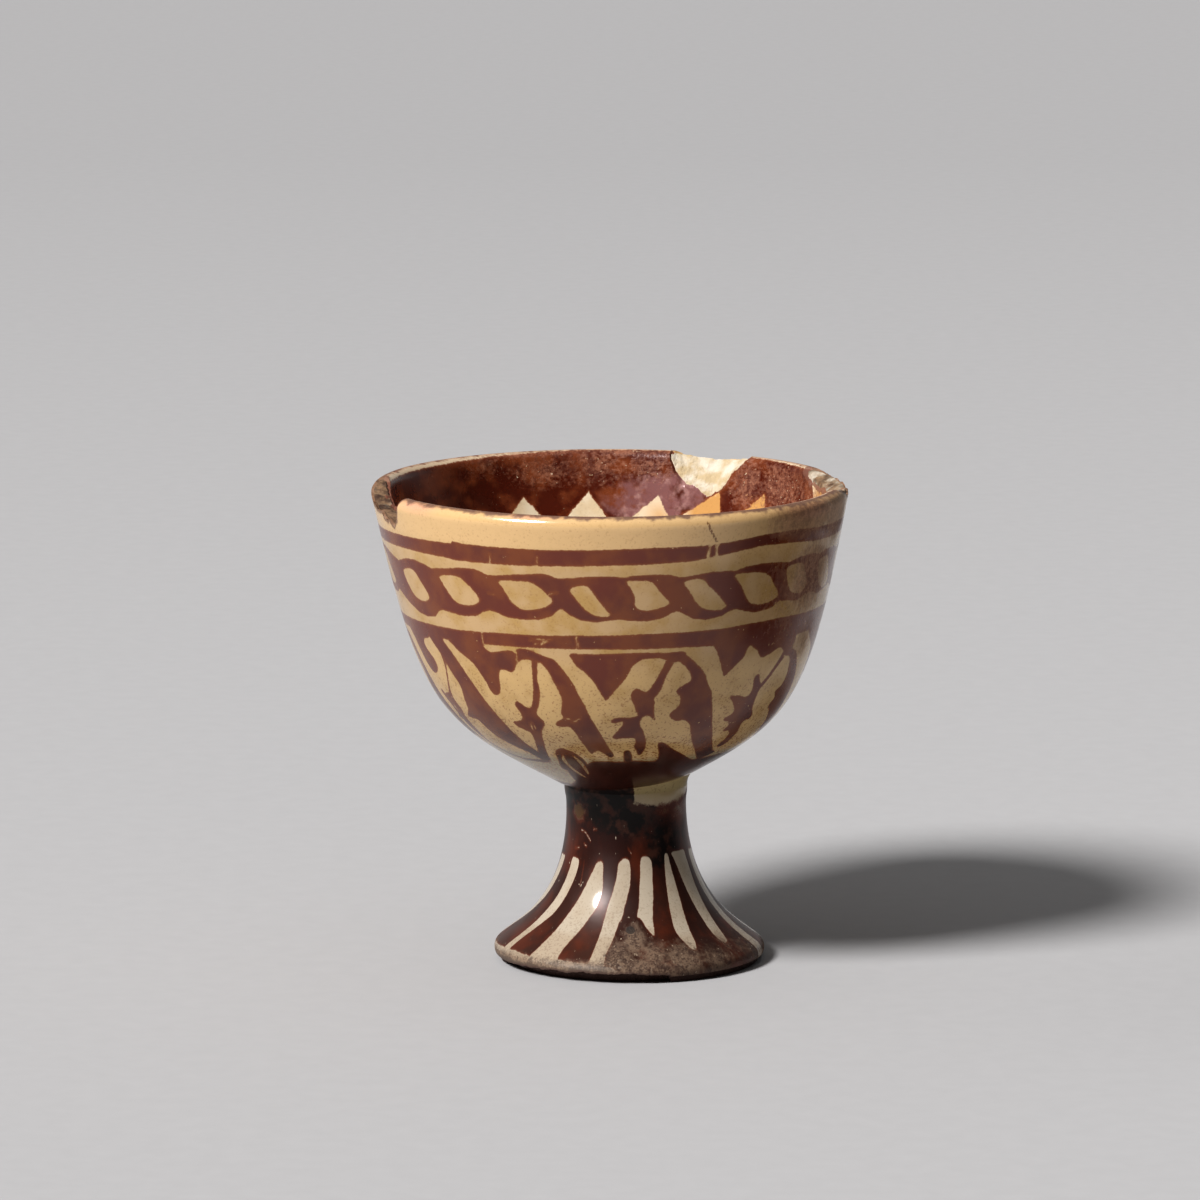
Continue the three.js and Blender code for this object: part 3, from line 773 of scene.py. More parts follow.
marks = {  # thin marks with their width and path, then patches
    "scratches": [(0.3, [(24.7, 4.4), (24.3, 6.2), (23.7, 8.6)]),
                  (0.3, [(26.1, 4.7), (26.2, 6.4), (26.4, 8.4)]),
                  (0.12, [(-22.4, 21), (-19.4, 20.7), (-16.2, 20.6)]),
                  (0.14, [(-21, 21.5), (-18.8, 21.3), (-17.3, 21)]),
                  (0.12, [(-19.6, 21.7), (-18.2, 21.2)]),
                  (0.18, [(-9.6, 20.3), (-9.2, 21.2), (-9.4, 22.2)]),
                  (0.12, [(-26.9, 22.6), (-27, 23.6), (-27.4, 25)]), (0.12, [(-37, 20.6), (-37.2, 22)]),
                  (0.1, [(-12, 35.2), (-14.5, 34.7), (-16, 34.5)]), (0.1, [(-10.8, 34.6), (-13.6, 35.4)]),
                  (0.03, [(-30.4, 7.2), (-30.7, 8.9)]), (0.03, [(-18, 7.3), (-18.2, 8.4)]),
                  (0.09, [(-28.5, 36.2), (-28, 37.8)]), (0.09, [(-27.4, 35.8), (-27, 37.2)]),
                  (0.08, [(-15.4, 13.1), (-13.6, 12.9)]), (0.08, [(-32.6, 13.8), (-31, 13.9)])],
    "cracks": [(0.34, [(23.5, 1.9), (24.3, 3.2), (25.2, 4.1), (26.2, 5.2)])],
    "pink": [((-54, 1.2), (15, 2.2), 0.6), ((-20, 0.8), (16, 1.2), 0.5), ((58, 2.2), (16, 2.4), 0.6)],
    # grime on the bowl's right side, partly real dirt and partly painted shade where that side turns away
    # from the light
    "grimeAndShade": [((56, 3.2), (24, 5.0), 1.15), ((72, 4), (16, 8), 1.0), ((62, 13), (18, 11), 1.0),
              ((66, 24), (14, 9), 0.6), ((54, 14), (34, 20), 0.5)],
}


def paintBowlOutside(piece):
    around, down = placesOn(piece, bowlAxis, bowlOutside(detail["measured"])[::-1])
    f = frieze
    paint = bandField(stripes["upperTop"], stripes["upperBottom"], around, down)
    paint = np.maximum(paint, bandField(stripes["middleTop"], stripes["middleBottom"], around, down))
    eyes, top, bottom = list(rope["eyes"]), list(rope["top"]), list(rope["bottom"])
    for i in range(rope["plainCount"]):
        middle = rope["plainFrom"] + i * rope["plainStep"]
        eyes.append([(a + middle, s + rope["plainMiddle"]) for a, s in rope["plainEye"]])
        if i > 0:  # the first eye's edges are drawn with the front
            top += [(a + middle, s) for a, s in rope["plainTop"]]
            bottom += [(a + middle, s) for a, s in rope["plainBottom"]]
    twist = bandField(top, bottom, around, down)
    paint = np.maximum(paint, np.minimum(twist, -loops(eyes, around, down)))
    leaves = f["centre"] + f["front"]
    for i in range(f["backCount"]):  # the back repeats the unit in front
        start = f["backFrom"] + i * f["backStep"]
        for shape in f["centre"]:
            leaves.append([(start + (a - f["unitFrom"]) * f["backWidth"], s) for a, s in shape])
    paint = np.maximum(paint, loops(leaves, around, down))
    paint = np.maximum(paint, lines(f["strokes"], around, down))
    paint = np.maximum(paint, (down - edgeAt(f["ringTop"], around)) * f["ringSoft"])
    paint = np.minimum(paint, -loops(f["slivers"] + [f["jointCream"]], around, down))
    paint = np.minimum(paint, -lines(marks["scratches"], around, down))
    # on the outside, worn carries the grime and the painted shade on the right side
    store(piece, paint=paint, crack=lines(marks["cracks"], around, down), low=growing(down, *f["low"]),
          warm=patches(marks["pink"], around, down), worn=patches(marks["grimeAndShade"], around, down),
          rim=fading(down, *stripes["rim"]), lip=fading(down, *stripes["lip"]),
          chip=rimDirt(piece, rimCuts["outer"], around))


inside = {  # the dark band inside the rim: its worn upper edge and its saw teeth
    "bandTop": [(260, 1.3), (230, 1.3), (218, 1.1), (200, 0.7), (188, 0.4), (165, 0.4), (140, 0.4),
                (118, 0.9), (112, 1.6), (108, 5.0), (102, 8.0), (84, 8.0), (70, 3.0), (60, 1.4), (0, 1.2),
                (-60, 1.6)],
    "toothRoot": 13.6,
    "teeth": [  # left root, tip, its depth, right root, as seen from inside
        (148, 132.3, 6.1, 131.2), (166, 148.2, 6.8, 146.6), (178.2, 166.5, 8.0, 161),
        (196.2, 186, 7.6, 178.6), (215, 204.8, 8.0, 196.4)],
    "plainTooth": (9.5, 7.4, 8.6), "toothStep": 19.0, "toothCount": 13, "toothFrom": 243.2,
    "purple": [((167, 8.6), (17, 6), 0.85), ((158, 6.5), (9, 4), 0.8)],
    "warm": [((150, 10), (13, 6), 1.0), ((135, 9), (12, 6), 1.0), ((166, 11), (12, 6), 0.45),
             ((97, 5), (18, 9), 0.9)],
    "worn": [((104, 4), (18, 9), 0.6), ((126, 5), (17, 7), 0.8), ((139, 5), (10, 7), 0.8),
             ((170, 3.5), (14, 4), 0.6), ((174, 0.8), (26, 1.6), 0.9), ((148, 0.8), (16, 1.4), 0.9),
             ((200, 0.8), (34, 1.2), 0.9), ((184, 3.5), (14, 5), 0.7), ((198, 4), (16, 4), 0.7),
             ((216, 2.4), (12, 3), 0.5)],
    "perDegree": 0.6, "rim": (3.0, 1.0), "lip": (0.9, 0.9),
}


def paintBowlInside(piece):
    around, down = placesOn(piece, bowlAxis, bowlInside(detail["measured"]))
    i = inside
    paint = np.minimum(down - edgeAt(i["bandTop"], around), i["toothRoot"] - down)
    left, tip, right = i["plainTooth"]
    teeth = list(i["teeth"])
    for n in range(i["toothCount"]):
        middle = i["toothFrom"] + n * i["toothStep"]
        teeth.append((middle + left, middle, tip, middle - right))
    for leftRoot, middle, tip, rightRoot in teeth:
        away = ((around - middle + 180) % 360 - 180) * i["perDegree"]
        width = np.where(away > 0, leftRoot - middle, middle - rightRoot) * i["perDegree"]
        slope = (i["toothRoot"] - tip) / width
        paint = np.minimum(paint, (np.abs(away) * slope - (down - tip)) / np.hypot(1, slope))
    store(piece, paint=paint, worn=patches(i["worn"], around, down), warm=patches(i["warm"], around, down),
          purple=patches(i["purple"], around, down), rim=fading(down, *i["rim"]), lip=fading(down, *i["lip"]),
          chip=rimDirt(piece, rimCuts["inner"], around))


footPaint = {  # cream stripes left between the dark lustre, then worn and stained places
    "stripes": [
        [(-84, 11.2), (-76, 11), (-72, 10.9), (-72, 12), (-75.5, 15), (-80, 18), (-86, 20.5), (-92, 23),
         (-97, 26), (-100, 32), (-108, 32), (-104, 25), (-98, 20), (-90, 15)],
        [(-56.5, 10.9), (-50, 10.7), (-47.5, 11), (-47, 12.2), (-49, 14.5), (-51.5, 17), (-55, 20),
         (-59, 22), (-62.5, 24), (-64.5, 26), (-65.2, 28), (-65.4, 32), (-71, 32), (-69.5, 26),
         (-67.5, 23), (-65, 20.5), (-61.5, 17.5), (-59, 14.5), (-57.5, 12.5)],
        [(-28, 11), (-24, 10.7), (-21.5, 11.2), (-21, 13), (-20.2, 15), (-22, 17.5), (-26, 20),
         (-29.5, 22.5), (-32.5, 25), (-33.4, 27.5), (-33.6, 32), (-48.6, 32), (-47.2, 26.5), (-45, 23),
         (-42.5, 20), (-38.5, 17), (-34, 14), (-30, 12)],
        [(-7.5, 10.8), (-4, 10.2), (0, 10.1), (2, 10.6), (2.5, 12), (1.8, 14), (-0.5, 16), (-2.5, 17.5),
         (-4, 19.3), (-6, 20.5), (-7.5, 22), (-9, 24), (-11, 26.5), (-12, 32), (-18.4, 32), (-17.2, 25.5),
         (-16, 21.5), (-14.8, 18.5), (-11.8, 15.5), (-9.5, 13.5), (-8.5, 12)],
        [(11.5, 10.8), (13.5, 9.9), (18, 9.8), (20.8, 10.2), (21.8, 11.3), (20.5, 13.5), (19, 16),
         (17, 18), (15.5, 20), (15, 21.5), (14, 22.8), (11, 21.5), (8, 19.8), (5.8, 19.3), (7.5, 17.5),
         (9, 15), (10.5, 12.8)],
        [(35.5, 10), (37.5, 9.6), (39.5, 10), (40.3, 12), (41.2, 14.5), (40.5, 17), (38.8, 19.5), (37, 22),
         (35.8, 24.5), (34, 26), (31.5, 26), (29, 24), (27.5, 22), (29, 19), (31, 16), (33, 13)],
        [(44, 9.7), (52, 9.6), (62, 9.7), (64, 11), (65, 13), (64, 16), (62.5, 18.5), (60.5, 21),
         (58.5, 23.5), (56.5, 25.5), (54, 26), (51.5, 25), (50.8, 23), (51.5, 20), (51, 16.5), (49, 13),
         (46, 10.8)],
    ],
    "plain": [(-6, 10.4), (0, 10.1), (6, 10.4), (6.5, 13), (5, 17), (2.5, 21), (0.5, 25), (-0.5, 32),
              (-6.8, 32), (-7, 24), (-6, 20), (-5.6, 15)],
    "plainFrom": 79.0, "plainStep": 21.4, "plainCount": 9,
    "worn": [((3, 23.6), (10, 4.6), 1.1), ((9, 30), (24, 5.0), 1.1), ((-5, 28.8), (12, 8), 1.1),
             ((12, 26.5), (12, 5), 0.9), ((25, 28), (15, 6), 1.0), ((42, 29), (20, 5.5), 0.7),
             ((64, 28.5), (26, 6.5), 0.5), ((53, 25.5), (6, 3.2), 0.8), ((-42, 32), (90, 4.6), 1.5),
             ((-20, 30.4), (30, 3.0), 1.9), ((-50, 31.0), (60, 2.2), 2.6), ((95, 30.5), (50, 3), 1.0),
             ((180, 30.5), (80, 3), 1.0), ((-100, 30.5), (50, 3), 1.0)],
    "paintEnd": [(-100, 29.4), (-75, 28.8), (-60, 28.4), (-48, 28.7), (-33, 28.3), (-20, 28.6), (-8, 29),
                 (10, 33), (80, 31), (180, 30)],
    "iron": {"round": 1.0, "down": 21.7, "size": 0.7, "perDegree": 0.27},
    "grey": [((-22, 0), (60, 5.5), 1.0), ((0, 4), (40, 6), 1.0), ((-70, 0), (50, 4), 1.0),
             ((38, 8), (34, 4.4), 1.0)],
    "bare": {"left": 7.5, "right": 82.0,
             "drop": [(0, 0.9), (12, 1.3), (20, 1.7), (32, 1.9), (48, 1.8), (60, 1.6), (82, 0.4)],
             "perDegree": 0.17, "soft": 0.3},
    # ochre thin lustre near the stem's top, its colour darkened with painted shade from the bowl above
    "ochreInShade": [((-52, 3.3), (16, 2.4), 1.0), ((62, 3.2), (40, 3.4), 0.62), ((38, 2.9), (28, 2.4), 0.5)],
    "scratches": [(0.09, [(-48, 6.1), (-42, 6.5), (-36, 7.6)]), (0.05, [(-55, 9.2), (-49, 9.0)]),
                  (0.06, [(-43.5, 8.2), (-40, 8.6)]), (0.05, [(-33, 5.8), (-29, 5.7)]),
                  (0.05, [(1, 8.5), (4, 9.3)]), (0.05, [(-41, 11), (-40.6, 14.8)])],
    "most": 1.2, "ochreFrom": 0.5, "ochreThins": 0.9, "low": (6.0, 18.0),
}


def bareJoint(around, down):  # cream left at the joint: its left edge is sharp, and it fades out downwards
    b = footPaint["bare"]
    sides = np.minimum(around - b["left"], b["right"] - around) * b["perDegree"]
    return np.minimum(sides, (edgeAt(b["drop"], around) - down) * b["soft"])


def paintFoot(piece):
    p = footPaint
    around, down = placesOn(piece, stemAxis, footOutside(detail["measured"]))
    shapes = list(p["stripes"])
    for i in range(p["plainCount"]):
        middle = p["plainFrom"] + i * p["plainStep"]
        shapes.append([(a + middle, s) for a, s in p["plain"]])
    paint = np.minimum(-loops(shapes, around, down), p["most"])
    bare = bareJoint(around, down)
    paint = np.minimum(paint, -bare)
    paint = np.minimum(paint, -lines(p["scratches"], around, down))
    ochreInShade = patches(p["ochreInShade"], around, down)
    paint = np.minimum(paint, p["ochreFrom"] - p["ochreThins"] * ochreInShade)
    paint = np.minimum(paint, edgeAt(p["paintEnd"], around) - down)
    iron = p["iron"]
    ironSpot = iron["size"] - np.hypot((around - iron["round"]) * iron["perDegree"], down - iron["down"])
    store(piece, paint=paint, crack=ironSpot, worn=patches(p["worn"], around, down),
          purple=patches(p["grey"], around, down), warm=ochreInShade, rim=np.clip(bare + 0.5, 0, 1),
          low=growing(down, *p["low"]), chip=brokenEdge(piece, base, footCuts["glaze"]))


slipPaint = {"above": -2.0, "low": 0.5, "dark": 0.5, "darkest": 0.7}


def paintSlip(piece):
    around, _, _ = spotsOn(piece, stemAxis)
    bare = bareJoint(around, np.full(len(around), slipPaint["above"]))
    store(piece, paint=-bare, low=np.full(len(around), slipPaint["low"]),
          purple=np.clip(slipPaint["dark"] - bare, 0, slipPaint["darkest"]))


def soilAndShadePaste(piece):  # bare paste is clean at the back chip, dark with dirt at the left one, and dark with dirt and painted shade at the foot
    around, _, height = spotsOn(piece, bowlAxis)
    dirt = np.where(height < pasteLook["footBelow"], pasteLook["foot"], edgeAt(pasteLook["dirt"], around))
    layer = piece.data.attributes.new("dirt", "FLOAT", "POINT")
    layer.data.foreach_set("value", dirt.astype(np.float32))


# Materials

# Opaque alkaline glaze with lustre paint over it, fired on: cream, glossy, finely specked, and brown-red
# paint that is golden where it is thin, faintly metallic, with brushed edges and rubbed places.
glazeLooks = {  # on the bowl's outside, its inside, the foot and the slip
    "cream": ("#c3a277", "#e8dbc4", "#b5a897", "#bda87c"),
    "creamDeep": ("#b7935a", "#dac6a6", "#aa9a86", "#9d8a60"),  # clouds in the cream
    "creamRim": ("#d6b281", "#d6bfa2", "#b09c76", "#bda87c"),  # near the rim, or at the bare joint
    "creamBelly": ("#cfac76", "#dac6a6", "#b3a694", "#a8966c"),  # below the middle
    "creamLow": ("#a08f6c", "#dac6a6", "#aa9a86", "#9d8a60"),  # at the bottom
    "fleck": ("#7d4420", "#6a3a22", "#5c4434", "#5c4434"),  # fine flecks
    "speck": ("#6e4222", "#694a30", "#2f2926", "#5a4630"),  # round specks and cracks
    "deep": ("#613124", "#451a10", "#2a120c", "#221310"),  # broad drifts in the paint
    "thin": ("#834821", "#8a4c2e", "#642c17", "#4a1c10"),  # paint where the brush ran dry
    "thick": ("#6b3020", "#541f10", "#2a0e08", "#2a130c"),  # full paint
    "thickLow": ("#3d190e", "#541f10", "#40241b", "#2a130c"),  # full paint, low down
    "purple": ("#5d2d27", "#855a58", "#130906", "#1a0e0b"),  # bloom on the paint
    # on the foot, warm is the ochre lustre near the stem's top, its colour darkened with painted shade from
    # the bowl above
    "warm": ("#dba688", "#c8985f", "#5c3f20", "#8a6a40"),  # warm patches in the cream
    "darkLow": (2.5, 1.0, 1.0, 1.0),  # how late the paint darkens downwards
    "brushLow": (0.16, 0.0, 0.0, 0.0),  # how much thinner it gets downwards
    "rubbedAndShaded": ("#a87a58", "#b07a60", "#806b59", "#6a584a"),  # worn places, and on the bowl's outside also its grime and the painted shade on its right side
    "stain": ("#6f432b", "#5c2c1e", "#43322a", "#4a372c"),  # grit in worn places, and on the bowl's outside the darker grime and painted shade
    "mottle": ("#5a2b2c", "#a27a76", "#44271d", "#4a3024"),  # patches in the bloom
    "chip": ("#6f4f42", "#7a5040", "#513e36", "#6e5648"),  # glaze beside a break
    "gloss": (0.14, 0.2, 0.12, 0.3),  # roughness
    "lustreGloss": (0.2, 0.26, 0.36, 0.35),  # roughness of the paint
    "metal": (0.1, 0.08, 0.14, 0.03),
    "wear": (0.71, 0.72, 0.7, 0.72),  # small losses, fewer when higher
    "edge": (0.1, 0.2, 0.13, 0.25),  # waver of the paint's edge in mm
    "streak": (0.6, 0.75, 0.6, 0.6),  # how far brush marks thin the paint
    "brush": (0.8, 1.25, 0.4, 1.0),  # upright stretch of brush marks
    "patchy": (0.55, 1.7, 0.8, 1.0),  # how patchy wear is
    "grainy": (0.1, 0.5, 0.5, 0.5),  # how grainy wear is
    "fade": (0.5, 0.3, 0.25, 0.25),  # how softly wear ends
    "rub": (0.75, 0.55, 0.85, 0.8),  # how strong wear is
    "dots": (0.1, 0.04, 0.04, 0.05),  # size of specks
    "dotsLow": (0.12, 0.0, 0.0, 0.0),  # more of it low down
    "flecks": (0.65, 0.3, 0.2, 0.4),  # share of flecks
    "shine": (0.5, 0.32, 0.26, 0.1),
    "bloom": (0.3, 0.8, 0.9, 0.6),  # how patchy the bloom is
}
glazeIor = 1.6
glazeGrain = {  # noise: millimetres across its features, its detail, and whether the brush drew it out
    "fine": (0.3, 2.0, False), "hair": (0.9, 3.0, False), "cloud": (4.0, 3.0, False),
    "drift": (14.0, 2.0, False), "mottle": (2.2, 4.0, False), "flecks": (0.36, 3.0, False),
    "stroke": (5.0, 5.0, True), "pinholes": (0.5, 4.0, True), "scuffs": (0.7, 4.0, True),
}
speckSpacing = 0.9  # millimetres


def paintedGlaze(name, look):
    material, tree, shader = newMaterial(name)
    add = partial(addNode, tree)
    spot = add("ShaderNodeTexCoord").outputs["Object"]
    brushed = add("ShaderNodeMapping", feeds={"Vector": spot, "Scale": (1.0, 1.0, look["brush"])})
    grain, swing, field = {}, {}, {}
    for kind, (size, detailed, drawnOut) in glazeGrain.items():
        grain[kind] = add(noiseKind, feeds=[brushed if drawnOut else spot, 1 / (size * mm), detailed])
    for kind in ("fine", "hair", "cloud", "scuffs"):
        swing[kind] = add(mathKind, "SUBTRACT", [grain[kind], 0.5])
    for kind in fieldNames:
        field[kind] = add("ShaderNodeAttribute", {"attribute_name": kind}).outputs["Fac"]
    worn, low, lip, cloud = field["worn"], field["low"], field["lip"], grain["cloud"]
    wearAndShade = add(mathKind, "MAXIMUM", [worn, lip])

    # the painted area, with a wavering edge and small losses
    edge = add(mathKind, "MULTIPLY_ADD", [swing["fine"], look["edge"] * 2, field["paint"]])
    edge = add(mathKind, "MULTIPLY_ADD", [swing["hair"], look["edge"] * 3, edge])
    losses = add(mathKind, "MULTIPLY_ADD", [add(mathKind, "ADD", [worn, lip]), 0.12, grain["pinholes"]])
    kept = add(rangeKind, soft, [losses, look["wear"], look["wear"] + 0.06, 1.0, 0.0])
    painted = add(mathKind, "MULTIPLY", [add(rangeKind, soft, [edge, -0.1, 0.12]), kept])

    # the paint's own colour: it is thinner going down the bowl, then pooled at the bottom
    pooled = add(mathKind, "MULTIPLY_ADD", [add(mathKind, "POWER", [low, 8.0]), -2.5, low])
    stroke = add(mathKind, "MULTIPLY_ADD", [pooled, -look["brushLow"], grain["stroke"]])
    loaded = add(rangeKind, soft, [stroke, 0.34, 0.56, 1.0 - look["streak"], 1.0])
    thickness = add(mathKind, "MULTIPLY", [add(rangeKind, soft, [edge, 0.0, 0.45, 0.25, 1.0]), loaded])
    dark = add(mathKind, "POWER", [low, look["darkLow"]])
    body = add(mixKind, inColour, [dark, look["thick"], look["thickLow"]])
    drift = add(rangeKind, soft, [grain["drift"], 0.45, 0.72, 0.0, 0.7])
    body = add(mixKind, inColour, [drift, body, look["deep"]])
    lustre = add(mixKind, inColour, [thickness, look["thin"], body])
    bloom = add(mathKind, "MULTIPLY_ADD", [swing["cloud"], look["bloom"] * 2, field["purple"]])
    bloom = add(mathKind, "MULTIPLY_ADD", [swing["hair"], look["bloom"], bloom])
    within = add(rangeKind, soft, [field["purple"], 0.0, 0.15])
    bloom = add(mathKind, "MULTIPLY", [add(rangeKind, soft, [bloom, 0.1, 0.6]), within])
    mottle = add(rangeKind, soft, [grain["mottle"], 0.46, 0.62])
    bloomed = add(mixKind, inColour, [mottle, look["purple"], look["mottle"]])
    lustre = add(mixKind, inColour, [bloom, lustre, bloomed])

    # the cream glaze, its tints from rim to foot, its flecks and its round specks
    belly = add(rangeKind, soft, [cloud, 0.38, 0.62, 0.9, 0.4])
    belly = add(mathKind, "MULTIPLY", [add(rangeKind, soft, [low, 0.0, 0.25]), belly])
    nearRim = add(rangeKind, soft, [grain["hair"], 0.2, 0.5, 0.7, 1.0])
    nearRim = add(mathKind, "MULTIPLY", [field["rim"], nearRim])
    warmed = add(rangeKind, soft, [field["warm"], 0.1, 0.6])
    lowest = add(rangeKind, soft, [low, 0.9, 1.0])
    flecks = add(mathKind, "MULTIPLY_ADD", [low, 0.06, add(mathKind, "MULTIPLY", [cloud, 0.2])])
    flecks = add(rangeKind, soft, [add(mathKind, "ADD", [grain["flecks"], flecks]), 0.68, 0.78])
    fleckShare = add(mathKind, "MULTIPLY_ADD", [low, look["flecks"], look["flecks"] * 0.3])
    flecks = add(mathKind, "MULTIPLY", [flecks, fleckShare])
    dots = add("ShaderNodeTexVoronoi", feeds=[spot, 1 / (speckSpacing * mm)])
    pick = add(mathKind, "POWER", [add("ShaderNodeSeparateColor", feeds=[dots.outputs["Color"]]), 5.0])
    largest = add(mathKind, "MULTIPLY_ADD", [low, look["dotsLow"], look["dots"]])
    size = add(mathKind, "MULTIPLY", [pick, largest])
    specks = add(rangeKind, soft, [add(mathKind, "SUBTRACT", [dots, size]), -0.05, 0.02, 0.6, 0.0])
    clouds = add(rangeKind, soft, [cloud, 0.35, 0.7])
    cream = add(mixKind, inColour, [clouds, look["cream"], look["creamDeep"]])
    for share, tint in ((belly, "creamBelly"), (nearRim, "creamRim"), (warmed, "warm"), (lowest, "creamLow"),
                        (flecks, "fleck"), (specks, "speck")):
        cream = add(mixKind, inColour, [share, cream, look[tint]])
    colour = add(mixKind, inColour, [painted, cream, lustre])

    # rubbed and stained places, which on the bowl's outside also paint the shade on its right side, the lip
    # where the glaze has worn thin, cracks and the edges of breaks
    rubbedAndShaded = add(mathKind, "MULTIPLY_ADD", [swing["scuffs"], look["patchy"], wearAndShade])
    rubbedAndShaded = add(mathKind, "MULTIPLY_ADD", [swing["fine"], look["grainy"], rubbedAndShaded])
    within = add(rangeKind, soft, [wearAndShade, 0.0, look["fade"]])
    rubbedAndShaded = add(mathKind, "MULTIPLY", [add(rangeKind, soft, [rubbedAndShaded, 0.15, 0.75]), within])
    speckle = add(mathKind, "MULTIPLY_ADD", [grain["fine"], 0.4, add(mathKind, "MULTIPLY", [cloud, 0.3])])
    speckle = add(mathKind, "MULTIPLY_ADD", [grain["hair"], 0.4, speckle])
    speckle = add(mathKind, "MULTIPLY_ADD", [add(mathKind, "MAXIMUM", [worn, 1.0]), 0.3, speckle])
    speckle = add(rangeKind, soft, [speckle, 0.74, 0.98])
    grit = add(mixKind, inColour, [speckle, look["rubbedAndShaded"], look["stain"]])
    rubbedAndShadedShare = add(mathKind, "MULTIPLY", [rubbedAndShaded, look["rub"]])
    cracked = add(rangeKind, soft, [field["crack"], -0.08, 0.03, 0.0, 0.8])
    stained = add(mathKind, "MULTIPLY_ADD", [swing["hair"], 0.8, field["chip"]])
    stained = add(rangeKind, soft, [stained, 0.15, 0.7, 0.0, 0.85])
    for share, over in ((rubbedAndShadedShare, grit), (cracked, look["speck"]), (stained, look["chip"])):
        colour = add(mixKind, inColour, [share, colour, over])

    gloss = add(mathKind, "MULTIPLY_ADD", [painted, look["lustreGloss"] - look["gloss"], look["gloss"]])
    gloss = add(mathKind, "MULTIPLY_ADD", [add(mathKind, "MAXIMUM", [rubbedAndShaded, stained]), 0.4, gloss])
    gloss = add(mathKind, "ADD", [gloss, add(rangeKind, soft, [cloud, 0.4, 0.7, 0.0, 0.06])])
    relief = add(mathKind, "MULTIPLY", [grain["fine"], add(mathKind, "MAXIMUM", [rubbedAndShaded, lip])])
    relief = add(mathKind, "MULTIPLY_ADD", [relief, 0.08, add(mathKind, "MULTIPLY", [cloud, 0.04])])
    metal = add(mathKind, "MULTIPLY", [painted, look["metal"]])
    bump = add("ShaderNodeBump", feeds={"Strength": 0.6, "Distance": mm, "Height": relief})
    feed(tree, shader, {"Base Color": colour, "Roughness": gloss, "Metallic": metal, "Normal": bump,
                        "IOR": glazeIor, "Specular IOR Level": look["shine"]})
    return material


# Fired stonepaste where it is bare: ground quartz bound with glass and white clay, so pale, gritty and open,
# and stained brown where dirt has got in. Under the foot it is darker still, with dirt and painted shade.
pasteLook = {
    "clean": "#d6ccbb", "buff": "#c0ab88", "stain": "#866a50", "dark": "#4a3427", "black": "#3c241c",
    "grit": 0.5,
    "dirt": [(-120, 0.6), (-95, 0.75), (-62, 0.85), (0, 0.5), (80, 0.68), (95, 0.6), (115, 0.58),
             (130, 0.2), (141, 0.05), (163, 0.05), (175, 0.3), (210, 0.5)],
    # foot: dirt under the foot, set past 1 so that the paste there also carries painted shade
    "foot": 1.4, "patch": 2.4, "dapple": 1.5, "footBelow": 20.0,
}


def barePaste(name, look):
    material, tree, shader = newMaterial(name)
    add = partial(addNode, tree)
    spot = add("ShaderNodeTexCoord").outputs["Object"]
    grit, patch, dapple = (add(noiseKind, feeds=[spot, 1 / (look[size] * mm), detailed])
                           for size, detailed in (("grit", 3.0), ("patch", 3.0), ("dapple", 5.0)))
    dirt = add("ShaderNodeAttribute", {"attribute_name": "dirt"}).outputs["Fac"]
    pale = add(mixKind, inColour, [add(rangeKind, soft, [patch, 0.35, 0.65]), look["clean"], look["buff"]])
    soil = add(mixKind, inColour, [add(rangeKind, soft, [dapple, 0.36, 0.66]), look["stain"], look["dark"]])
    soaked = add(mathKind, "ADD", [dirt, add(mathKind, "MULTIPLY_ADD", [patch, 0.9, -0.45])])
    colour = add(mixKind, inColour, [add(rangeKind, soft, [soaked, 0.25, 0.75]), pale, soil])
    # past 1, which only the foot reaches, the paste turns almost black: dirt and painted shade
    colour = add(mixKind, inColour, [add(rangeKind, soft, [dirt, 1.0, 1.3]), colour, look["black"]])
    bump = add("ShaderNodeBump", feeds={"Strength": 0.8, "Distance": look["grit"] / 2 * mm, "Height": grit})
    feed(tree, shader, {"Base Color": colour, "Roughness": 0.85, "Normal": bump})
    return material


glazeNames = {
    "outer": "creamGlazeWithLustre", "inner": "lustreOverGlazeInside", "foot": "darkLustreOnFoot",
    "slip": "glazedSlip",
}
finishes = {"paste": barePaste("bareStonepaste", pasteLook)}
for column, (part, glazeName) in enumerate(glazeNames.items()):
    finishes[part] = paintedGlaze(glazeName, {key: values[column] for key, values in glazeLooks.items()})
print("materials are made")


# Pieces

detail = {  # steps round and points along each piece; a hidden face needs few
    "outerTurns": 600, "outerRows": 140, "innerTurns": 480, "innerRows": 130, "pasteTurns": 240,
    "pasteRows": 90, "footTurns": 480, "footRows": 110, "footPasteRows": 80, "edgeRows": 8, "hollowRows": 40,
    "filletRows": 24, "fullRows": 200, "hidden": 14, "under": 400, "measured": 600, "sharp": 40.0,
}


def hand(piece, node):  # smooth shading with crisp breaks, then hangs the piece under the root body and hides the frame's part it stands for
    piece.data.shade_smooth()
    piece.data.set_sharp_from_angle(angle=math.radians(detail["sharp"]))
    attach(piece, "root")
    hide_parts(node)
    print("piece:", piece.name, len(piece.data.polygons), "faces")


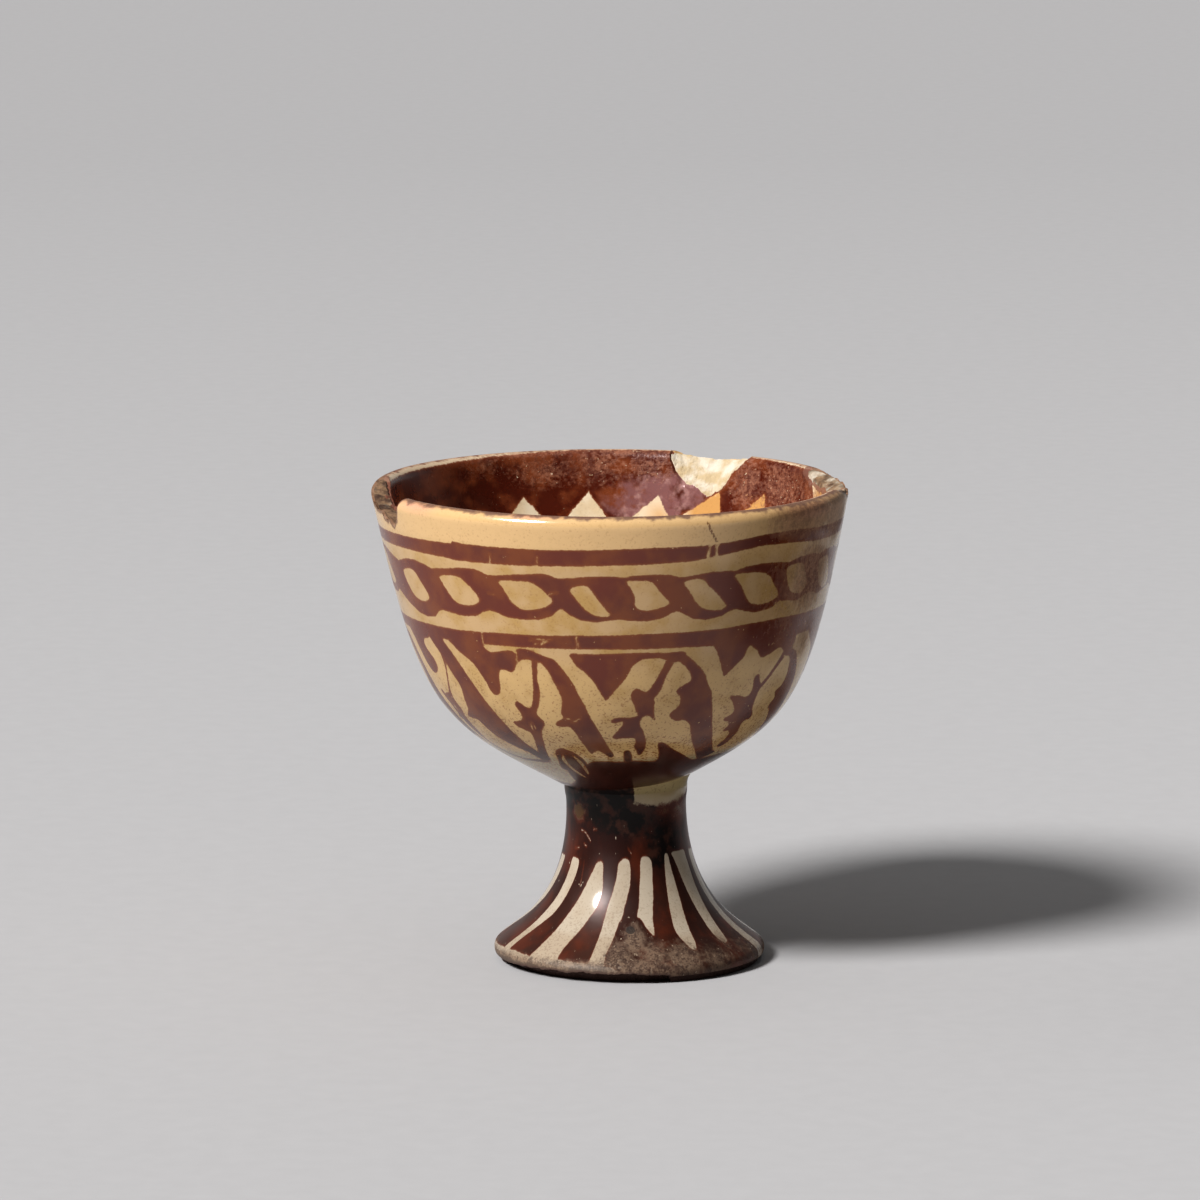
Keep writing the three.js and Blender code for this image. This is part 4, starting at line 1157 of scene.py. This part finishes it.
def makeBowl():
    d = detail
    outerPaste = inset(bowlOutside(d["under"]), glaze)
    innerPaste = inset(bowlInside(d["under"]), glaze)

    outer = bowlOutside(d["outerRows"])
    profile = np.vstack([outer, evenly(outerPaste, d["hidden"])[::-1], outer[:1]])
    skin = throw("bowlOuterGlaze", profile, d["outerTurns"], bowlAxis, finishes["outer"])
    bitten(skin, ringTool("rimTool", rim, rimCuts["outer"]))
    paintBowlOutside(skin)
    hand(skin, "bowl_outer_glaze")

    behind = evenly(innerPaste, d["hidden"])
    behind[-1, 0] = 0.0
    profile = np.vstack([bowlInside(d["innerRows"])[::-1], behind])
    lining = throw("bowlInnerGlaze", profile, d["innerTurns"], bowlAxis, finishes["inner"])
    bitten(lining, ringTool("rimTool", rim, rimCuts["inner"]))
    paintBowlInside(lining)
    hand(lining, "bowl_inner_glaze")

    seat = np.array([[0.0, seatHeight], [bowlShape["seatRadius"], seatHeight]])
    hollow = evenly(innerPaste, d["pasteRows"])
    hollow[-1, 0] = 0.0
    profile = np.vstack([seat, evenly(outerPaste, d["pasteRows"]), hollow[1:]])
    body = throw("bowlBody", profile, d["pasteTurns"], bowlAxis, finishes["paste"])
    bitten(body, ringTool("rimTool", rim, rimCuts["paste"]))
    soilAndShadePaste(body)
    hand(body, "bowl_body")


def makeFoot():
    d, f = detail, footShape
    paste = inset(footOutside(d["under"]), -glaze)

    outer = footOutside(d["footRows"])
    profile = np.vstack([outer, evenly(paste, d["hidden"])[::-1], outer[:1]])
    skin = throw("footGlaze", profile, d["footTurns"], stemAxis, finishes["foot"])
    bitten(skin, ringTool("footTool", base, footCuts["glaze"]))
    paintFoot(skin)
    hand(skin, "foot_glaze")

    top = np.array([[0.0, f["stemHeight"]]])
    bareEdge = footEdge(f["edgeRadius"] - glaze, f["glazeEnd"], f["bareEnd"], d["edgeRows"])
    standing = np.array([[f["baseRadius"], 0.0]])
    hollow = footHollow(d["hollowRows"])
    profile = np.vstack([top, evenly(paste, d["footPasteRows"]), bareEdge[1:], standing, hollow])
    body = throw("footBody", profile, d["pasteTurns"], stemAxis, finishes["paste"])
    bitten(body, ringTool("footTool", base, footCuts["paste"]))
    soilAndShadePaste(body)
    hand(body, "foot_body")


def makeSlip():
    d, f, j = detail, footShape, jointShape
    third = np.array([2 * j["filletSpread"], j["filletRise"]]) / 3
    fillet = bezierRun((f["stemTop"], f["stemHeight"]), third * (0, 1), -third,
                       (f["stemTop"] + j["filletSpread"], f["stemHeight"] + j["filletRise"]), d["filletRows"])
    collar = np.vstack([[[0.0, f["stemHeight"]]], fillet, [[0.0, fillet[-1][1]]]])
    slip = throw("jointSlip", collar, d["pasteTurns"], stemAxis, finishes["slip"])
    full = np.vstack([[[0.0, seatHeight]], bowlOutside(d["fullRows"]), [[0.0, bowlShape["height"]]]])
    bitten(slip, throw("filledBowl", full, d["pasteTurns"], bowlAxis, None))
    paintSlip(slip)
    hand(slip, "joint_slip")


makeBowl()
makeFoot()
makeSlip()
